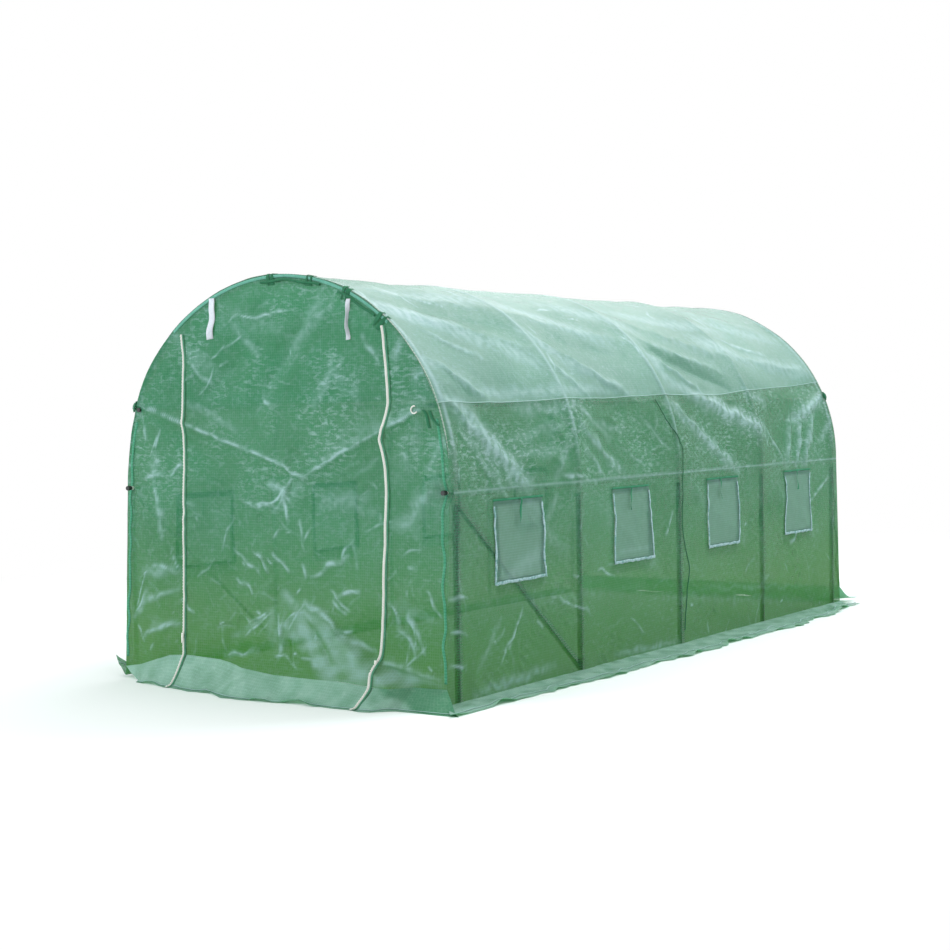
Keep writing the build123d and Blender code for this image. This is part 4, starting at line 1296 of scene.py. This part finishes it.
def buildSeams():
    turn = shoulderArc / coverRadius
    y = np.linspace(-endReach(wallHigh.z), endReach(wallHigh.z), 260)
    shoulders = []
    for sign in (1, -1):
        path = coverPoint(sign * seamArc(y), y, seam["proud"])
        down = (sign * math.cos(turn), 0, -math.sin(turn))
        shoulders.append(makeRibbon(f"shoulder{sign}", path, down, seam["width"], seam["thickness"], seamTapeAndHighlight,
                                    (sign, 0, 0.4), 3))
    place(joinPieces(shoulders, "shoulder_seams"), "cover_film")
    arc = np.linspace(-shoulderArc - seam["edgeRun"], shoulderArc + seam["edgeRun"], 320)
    z = coverHeight(arc)
    for sign, end in ((-1, "front"), (1, "back")):
        drawn = cornerDraw(coverRadius * np.sign(arc), z) if end == "front" else 0
        reach = endReach(z) - seam["edge"] - drawn
        path = coverPoint(arc, sign * reach, seam["proud"])
        thin = np.clip((arc[-1] - np.abs(arc)) / 0.12, 0.15, 1)
        across = np.stack([0 * thin, thin, 0 * thin], -1)
        edge = makeRibbon(f"{end}_edge_binding", path, across, seam["edgeWidth"], seam["thickness"], bindTape,
                          (0, 0, 1), 3)
        place(edge, "cover_film")
    turn = np.linspace(-seam["rimTurn"], seam["rimTurn"], 160)
    path = rimPoint(turn, seam["rimWidth"] / 2 + 0.002, 0.0014)
    across = np.stack([np.sin(turn), 0 * turn, np.cos(turn)], -1)
    rim = makeRibbon("front_rim_tape", path, across, seam["rimWidth"], 0.001, rimTape, (0, -1, 0), 3)
    place(rim, "cover_film")
    tapes = []
    for sign in (1, -1):
        z = np.linspace(seam["tapeTop"], doorLow.z, 90)
        for end in ("front", "back"):
            x = sign * np.minimum(seam["tapeX"], 0.986 * np.sqrt(1 - np.maximum(z - springZ, 0) ** 2) - 0.012)
            x = x + sign * seam["tapeLean"] * (0.9 - z).clip(0) + 0.004 * swell(z, 0 * z, 101 + sign, 0.14)
            path = endPoint(x, z, end, seam["proud"])
            tapes.append(makeRibbon(f"tape{sign}{end}", path, (1, 0, 0), seam["tapeWidth"], seam["thickness"],
                                    cornerTape, (0, -1 if end == "front" else 1, 0), 3))
    place(joinPieces(tapes, "corner_tapes"), "green_strap")
    for side, points in skirtPoints.items():
        path = points[seam["hemRow"]] + np.array((0, 0, seam["hemProud"]))
        out = points[seam["hemRow"] + 1] - points[seam["hemRow"]]
        out = out / np.linalg.norm(out, axis=1)[:, None]
        hem = makeRibbon(f"{side}_skirt_hem", path, out, seam["hemWidth"], 0.0012, seamTapeAndHighlight, (0, 0, 1), 3)
        place(hem, "cover_film")


# dark straps tied round the front hoop, a rolled edge between them, and the ring with its loose strap ends
tieWrap = {
    "places": (-0.04, 0.2, 0.42, 0.63), "width": 0.02, "reach": (0.05, 0.045, 0.055, 0.068), "back": 0.03,
    "proud": 0.004,
    "rolls": ((-0.1, 0.27), (0.38, 0.6)), "rollIn": 0.03, "rollRadius": 0.006,
    "ring": (0.819, 1.342), "ringRadius": 0.017, "ringWire": 0.0032,
    "ends": (((0.86, 1.342), (0.88, 1.3), (0.9, 1.258)),
             ((0.888, 1.336), (0.915, 1.3), (0.941, 1.268))),
    "endWidth": 0.013, "shifts": (-0.014, 0.012),
}


# a round piping along a path with closed ends
def makeTube(name, path, radius, material, sides=8):
    path = np.array(path, float)
    ahead = np.gradient(path, axis=0)
    ahead = ahead / np.linalg.norm(ahead, axis=1)[:, None]
    across = np.cross(ahead, (0, 1, 0))
    across = across / np.linalg.norm(across, axis=1)[:, None]
    up = np.cross(across, ahead)
    turn = np.linspace(0, 2 * math.pi, sides, endpoint=False)
    ring = across[:, None] * np.cos(turn)[None, :, None] + up[:, None] * np.sin(turn)[None, :, None]
    points = (path[:, None] + ring * radius).reshape(-1, 3)
    faces = [list(range(sides))[::-1], list(range(len(points) - sides, len(points)))]
    for i in range(len(path) - 1):
        for k in range(sides):
            after = (k + 1) % sides
            faces.append([i * sides + k, i * sides + after, (i + 1) * sides + after, (i + 1) * sides + k])
    mesh = bpy.data.meshes.new(name)
    mesh.from_pydata(points.tolist(), [], faces)
    layer = mesh.uv_layers.new(name="cloth")
    run = np.repeat(runLengths(path), sides)
    girth = np.tile(turn * radius, len(path))
    for loop in mesh.loops:
        layer.data[loop.index].uv = (girth[loop.vertex_index], run[loop.vertex_index])
    piece = newPiece(name, mesh, material)
    selectOnly(piece)
    editMesh(piece)
    bpy.ops.mesh.normals_make_consistent(inside=False)
    endEdit()
    bpy.ops.object.shade_smooth_by_angle(angle=math.radians(60))
    return piece


# a strap over the edge of the front: up the sheet, over the rim and back along the roof
def wrapPath(x, reach):
    angle = math.asin(x / coverRadius)
    share = np.linspace(0, 1, 10)
    sheet = rimPoint(angle, reach * (1 - share), tieWrap["proud"])
    rimZ = springZ + coverRadius * math.cos(angle)
    y = -endReach(rimZ) + tieWrap["back"] * share
    top = coverPoint(angle * coverRadius + 0 * y, y, tieWrap["proud"])
    return np.concatenate([sheet[:-1], (sheet[-1:] + top[:1]) / 2, top[1:]]), angle


def buildWraps():
    wraps = []
    for i, x in enumerate(tieWrap["places"]):
        for shift in tieWrap["shifts"]:
            path, angle = wrapPath(x + shift, tieWrap["reach"][i])
            skew = 0.25 if shift > 0 else -0.2
            pinch = 0.8 + 0.45 * np.sin(np.linspace(0, 7, len(path)) + 2 * i + 40 * shift)
            across = pinch[:, None] * np.array((math.cos(angle), skew, -math.sin(angle)))
            wraps.append(makeRibbon(f"wrap{i}{shift}", path, across, tieWrap["width"], 0.002, wrapStrap,
                                    (0, -1, 0.3)))
    for i, (start, end) in enumerate(tieWrap["rolls"]):
        angle = np.linspace(math.asin(start), math.asin(end), 40)
        radius = tieWrap["rollRadius"]
        path = rimPoint(angle, tieWrap["rollIn"] - 0.004 * np.sin(angle * 30 + i), radius)
        wraps.append(makeTube(f"roll{i}", path, radius, wrapStrap))
    for i, points in enumerate(tieWrap["ends"]):
        heights = [z for _, z in points]
        z = np.linspace(heights[0], heights[-1], 16)
        x = np.interp(-z, [-height for height in heights], [x for x, _ in points])
        x = x + 0.005 * np.sin(np.linspace(0, 5, len(z)) + 2 * i)
        path = endPoint(x, z, "front", 0.005)
        wraps.append(makeRibbon(f"end{i}", path, (1, 0.3, 0.1), tieWrap["endWidth"], 0.0016, wrapStrap,
                                (0, -1, 0)))
    place(joinPieces(wraps, "front_tie_straps"), "green_strap")
    x, z = tieWrap["ring"]
    ring = startPrimitive("tie_ring", bpy.ops.mesh.primitive_torus_add, major_radius=tieWrap["ringRadius"],
                          minor_radius=tieWrap["ringWire"], major_segments=32, minor_segments=10)
    editMesh(ring)
    bpy.ops.mesh.bisect(plane_co=(0.6 * tieWrap["ringRadius"], 0, 0), plane_no=(1, 0.4, 0), use_fill=True,
                        clear_outer=True)  # the open side of the ring
    endEdit()
    spot = endPoint(np.array([x]), np.array([z]), "front", tieWrap["ringWire"] + 0.003)[0]
    ring.data.transform(spotFrame(spot, (0, -1, 0.05), (0, 0, 1)))
    bpy.ops.object.shade_smooth_by_angle(angle=math.radians(50))
    ring.data.materials.append(toothMaterial)
    place(ring, "zip")


# a thin dark tube down the wall beside the middle hoop: painted shade of a crease and of the leg up high, a
# dark cord lower down; each place (y, z)
cordAndShade = {
    "radius": 0.0026, "proud": 0.0045, "roundings": 8,
    "places": ((-0.148, 1.385), (-0.081, 1.275), (0.036, 1.122), (0.041, 1.045), (0.031, 0.882),
               (0.02, 0.606), (0.063, 0.513), (0.104, 0.427), (0.075, 0.309), (0.024, 0.083)),
}


def buildCordAndShade():
    share = np.linspace(0, len(cordAndShade["places"]) - 1, 90)
    y, z = (np.interp(share, range(len(cordAndShade["places"])), values) for values in zip(*cordAndShade["places"]))
    for _ in range(cordAndShade["roundings"]):
        y[1:-1] = (y[:-2] + 2 * y[1:-1] + y[2:]) / 4
    path = coverPoint(wallArc(z), y, cordAndShade["proud"])
    place(makeTube("hoop_cord_and_shade", path, cordAndShade["radius"], wrapStrap), "green_strap")


# knots where the cover is tied to the ends of the shoulder rails
knot = {"size": (0.034, 0.026, 0.022), "ear": 0.014, "inset": 0.006, "corners": ((-1, -1), (-1, 1), (1, 1))}


def buildKnots():
    pattern = startPrimitive("knot", bpy.ops.mesh.primitive_cube_add, size=1)
    editMesh(pattern)
    bpy.ops.transform.resize(value=knot["size"])
    for direction in ((1, 0, 0), (-1, 0, 0), (0, -1, 0)):
        pickFaces(pattern, direction)
        bpy.ops.mesh.inset(thickness=knot["inset"], depth=0)
        push = Vector(direction) * knot["ear"] + Vector((0, 0, -0.004))
        bpy.ops.mesh.extrude_region_move(TRANSFORM_OT_translate={"value": push})
        bpy.ops.transform.resize(value=(1.3, 1.3, 1.3))
    endEdit()
    applyModifier(pattern, "SUBSURF", levels=2, render_levels=2)
    places = []
    turn = shoulderArc / coverRadius
    for sign, end in knot["corners"]:
        spot = coverPoint(sign * shoulderArc, end * (endReach(wallHigh.z) - 0.03), 0.014)
        places.append(spotFrame(spot, (sign * math.sin(turn), end * 0.5, math.cos(turn)), (0, -end, 0)))
    place(stamp(pattern, places, "shoulder_knots", greenPlain), "green_strap")


# hexagon bolts with washers on the inside of the hoops, at each ridge, shoulder and side rail
bolt = {"across": 0.013, "head": 0.006, "washer": 0.017, "washerThick": 0.0014, "inside": 0.0008}


def buildBolts():
    head = startPrimitive("bolt", bpy.ops.mesh.primitive_cylinder_add, vertices=6, radius=bolt["across"] / 2,
                          depth=bolt["head"], location=(0, 0, bolt["head"] / 2))
    editMesh(head)
    pickFaces(head, (0, 0, 1))
    bpy.ops.mesh.inset(thickness=0.0012, depth=0.0008)  # chamfered crown
    pickFaces(head, (0, 0, -1))
    bpy.ops.mesh.extrude_region_move(TRANSFORM_OT_translate={"value": (0, 0, -0.0002)})
    bpy.ops.transform.resize(value=(bolt["washer"] / bolt["across"], bolt["washer"] / bolt["across"], 1))
    bpy.ops.mesh.extrude_region_move(TRANSFORM_OT_translate={"value": (0, 0, -bolt["washerThick"])})
    endEdit()
    selectOnly(head)
    bpy.ops.object.transform_apply(location=True, rotation=True, scale=True)
    reach = railReach - 2 * railRadius - bolt["inside"] - bolt["washerThick"] - 0.001
    places = []
    for hoopY in hoopYs:
        for turn in (0, shoulderArc / coverRadius, -shoulderArc / coverRadius):
            inward = Vector((-math.sin(turn), 0, -math.cos(turn)))
            places.append(spotFrame(Vector((0, hoopY, springZ)) - inward * reach, inward, (0, 1, 0)))
        for sign in (1, -1):
            spot = (sign * reach, hoopY, (railLow.z + railHigh.z) / 2)
            places.append(spotFrame(spot, (-sign, 0, 0), (0, 1, 0)))
    place(stamp(head, places, "rail_bolts", steelMaterial), "steel_tube")


greenPlain = makePlastic("tieGreen", (0.01, 0.13, 0.058, 1), (0.03, 0.22, 0.11, 1), 0.55)
for side in ("left", "right"):
    buildZip(side)
buildDoorTies()
buildWindows()
buildSeams()
buildWraps()
buildCordAndShade()
buildKnots()
buildBolts()
print("zips, ties, windows, seams and fittings made")

# the frame keeps its own shape and gets its metal, with painted shade in darker copies on the legs and braces
# and a painted lighter copy on the left side rail
frameFinish = {"caps": capMaterial, "legs": legMaterial, "brace": legMaterial,
               "left_legs": farMaterial, "left_brace": farMaterial, "left_side_rail": railMaterial}
for name, node in nodes.items():
    if node.hide_render:
        continue
    node.data.materials.clear()
    finish = frameFinish.get(name.split("_")[-1], steelMaterial)
    node.data.materials.append(frameFinish.get(name, finish))


# camera at the photograph's place
photo = {"size": 950, "focal": 1803.4, "place": (5.48, -9.028, 1.3595),
         "yaw": 32.889, "pitch": -2.229, "roll": -0.929}


def makeCamera():
    yaw, pitch, roll = (math.radians(photo[key]) for key in ("yaw", "pitch", "roll"))
    level = Vector((math.cos(yaw), math.sin(yaw), 0))
    ahead = Vector((-math.sin(yaw) * math.cos(pitch), math.cos(yaw) * math.cos(pitch), math.sin(pitch)))
    upright = level.cross(ahead)
    right = level * math.cos(roll) + upright * math.sin(roll)
    up = upright * math.cos(roll) - level * math.sin(roll)
    data = bpy.data.cameras.new("photoCamera")
    data.sensor_width = 36
    data.lens = data.sensor_width * photo["focal"] / photo["size"]
    data.clip_end = 200
    camera = bpy.data.objects.new("photoCamera", data)
    turn = Matrix((right, up, -ahead)).transposed().to_4x4()
    camera.matrix_world = Matrix.Translation(photo["place"]) @ turn
    bpy.context.scene.collection.objects.link(camera)
    bpy.context.scene.camera = camera


# pale studio: white round the object for the eye, softer light on it
studio = {"ambient": 0.55, "floorSize": 160, "clearNear": 1.5, "clearFar": 3.6,
          "clearX": 0.62, "clearY": 0.42, "floor": (0.9, 0.91, 0.9, 1)}
lamps = [
    {"name": "topPanel", "place": (0.5, -0.5, 6.5), "aim": (0, 0, 1), "size": (6, 7), "watts": 240,
     "colour": (1, 1, 1)},
    {"name": "ridgePanel", "place": (-2.5, 12.5, 8.6), "aim": (0, 0.0, 1.5), "size": (13, 8), "watts": 620,
     "colour": (0.88, 0.95, 1)},
    {"name": "wallPanel", "place": (6.2, 10.6, 12.2), "aim": (1, 0, 1.2), "size": (8, 8), "watts": 1650,
     "colour": (0.8, 0.96, 1)},
    {"name": "frontPanel", "place": (-6.5, -11, 6.0), "aim": (0, -1, 1.0), "size": (6, 5), "watts": 900,
     "colour": (0.84, 0.97, 1)},
]


def seenDirectly(b):
    path = b.node("LightPath").socket.node.outputs
    rays = ("Is Camera Ray", "Is Glossy Ray", "Is Transmission Ray")
    camera, glossy, through = (Value(b, path[ray]) for ray in rays)
    return camera.math("MAXIMUM", glossy).math("MAXIMUM", through)


def makeStudio():
    world = bpy.data.worlds.new("studioWorld")
    bpy.context.scene.world = world
    b = Bench(world)
    strength = seenDirectly(b) * (1 - studio["ambient"]) + studio["ambient"]
    b.node("OutputWorld", None, {"Surface": b.node("Background", None, {0: (1, 1, 1, 1), 1: strength})})

    bpy.ops.object.select_all(action="DESELECT")
    bpy.ops.mesh.primitive_plane_add(size=studio["floorSize"])
    floor = bpy.context.object
    floor.name = "studioFloor"
    material, b = newMaterial("studioFloor")
    x, y, _ = b.axes(b.place())
    off = ((x * studio["clearX"]) ** 2 + (y * studio["clearY"]) ** 2) ** 0.5
    white = seenDirectly(b) * b.step(off, studio["clearNear"], studio["clearFar"])
    matt = b.node("BsdfDiffuse", None, {"Color": studio["floor"]})
    glow = b.node("Emission", None, {"Color": (1, 1, 1, 1), "Strength": 1.0})
    b.surface(b.node("MixShader", None, {0: white, 1: matt, 2: glow}))
    floor.data.materials.append(material)

    for lamp in lamps:
        data = bpy.data.lights.new(lamp["name"], "AREA")
        data.shape = "RECTANGLE"
        data.size, data.size_y = lamp["size"]
        data.energy = lamp["watts"]
        data.color = lamp["colour"]
        light = bpy.data.objects.new(lamp["name"], data)
        aim = Vector(lamp["aim"]) - Vector(lamp["place"])
        turn = aim.to_track_quat("-Z", "Y").to_matrix().to_4x4()
        light.matrix_world = Matrix.Translation(lamp["place"]) @ turn
        light.visible_camera = False
        bpy.context.scene.collection.objects.link(light)
    bpy.context.scene.view_settings.view_transform = "Standard"


makeCamera()
makeStudio()
print("camera and studio made")
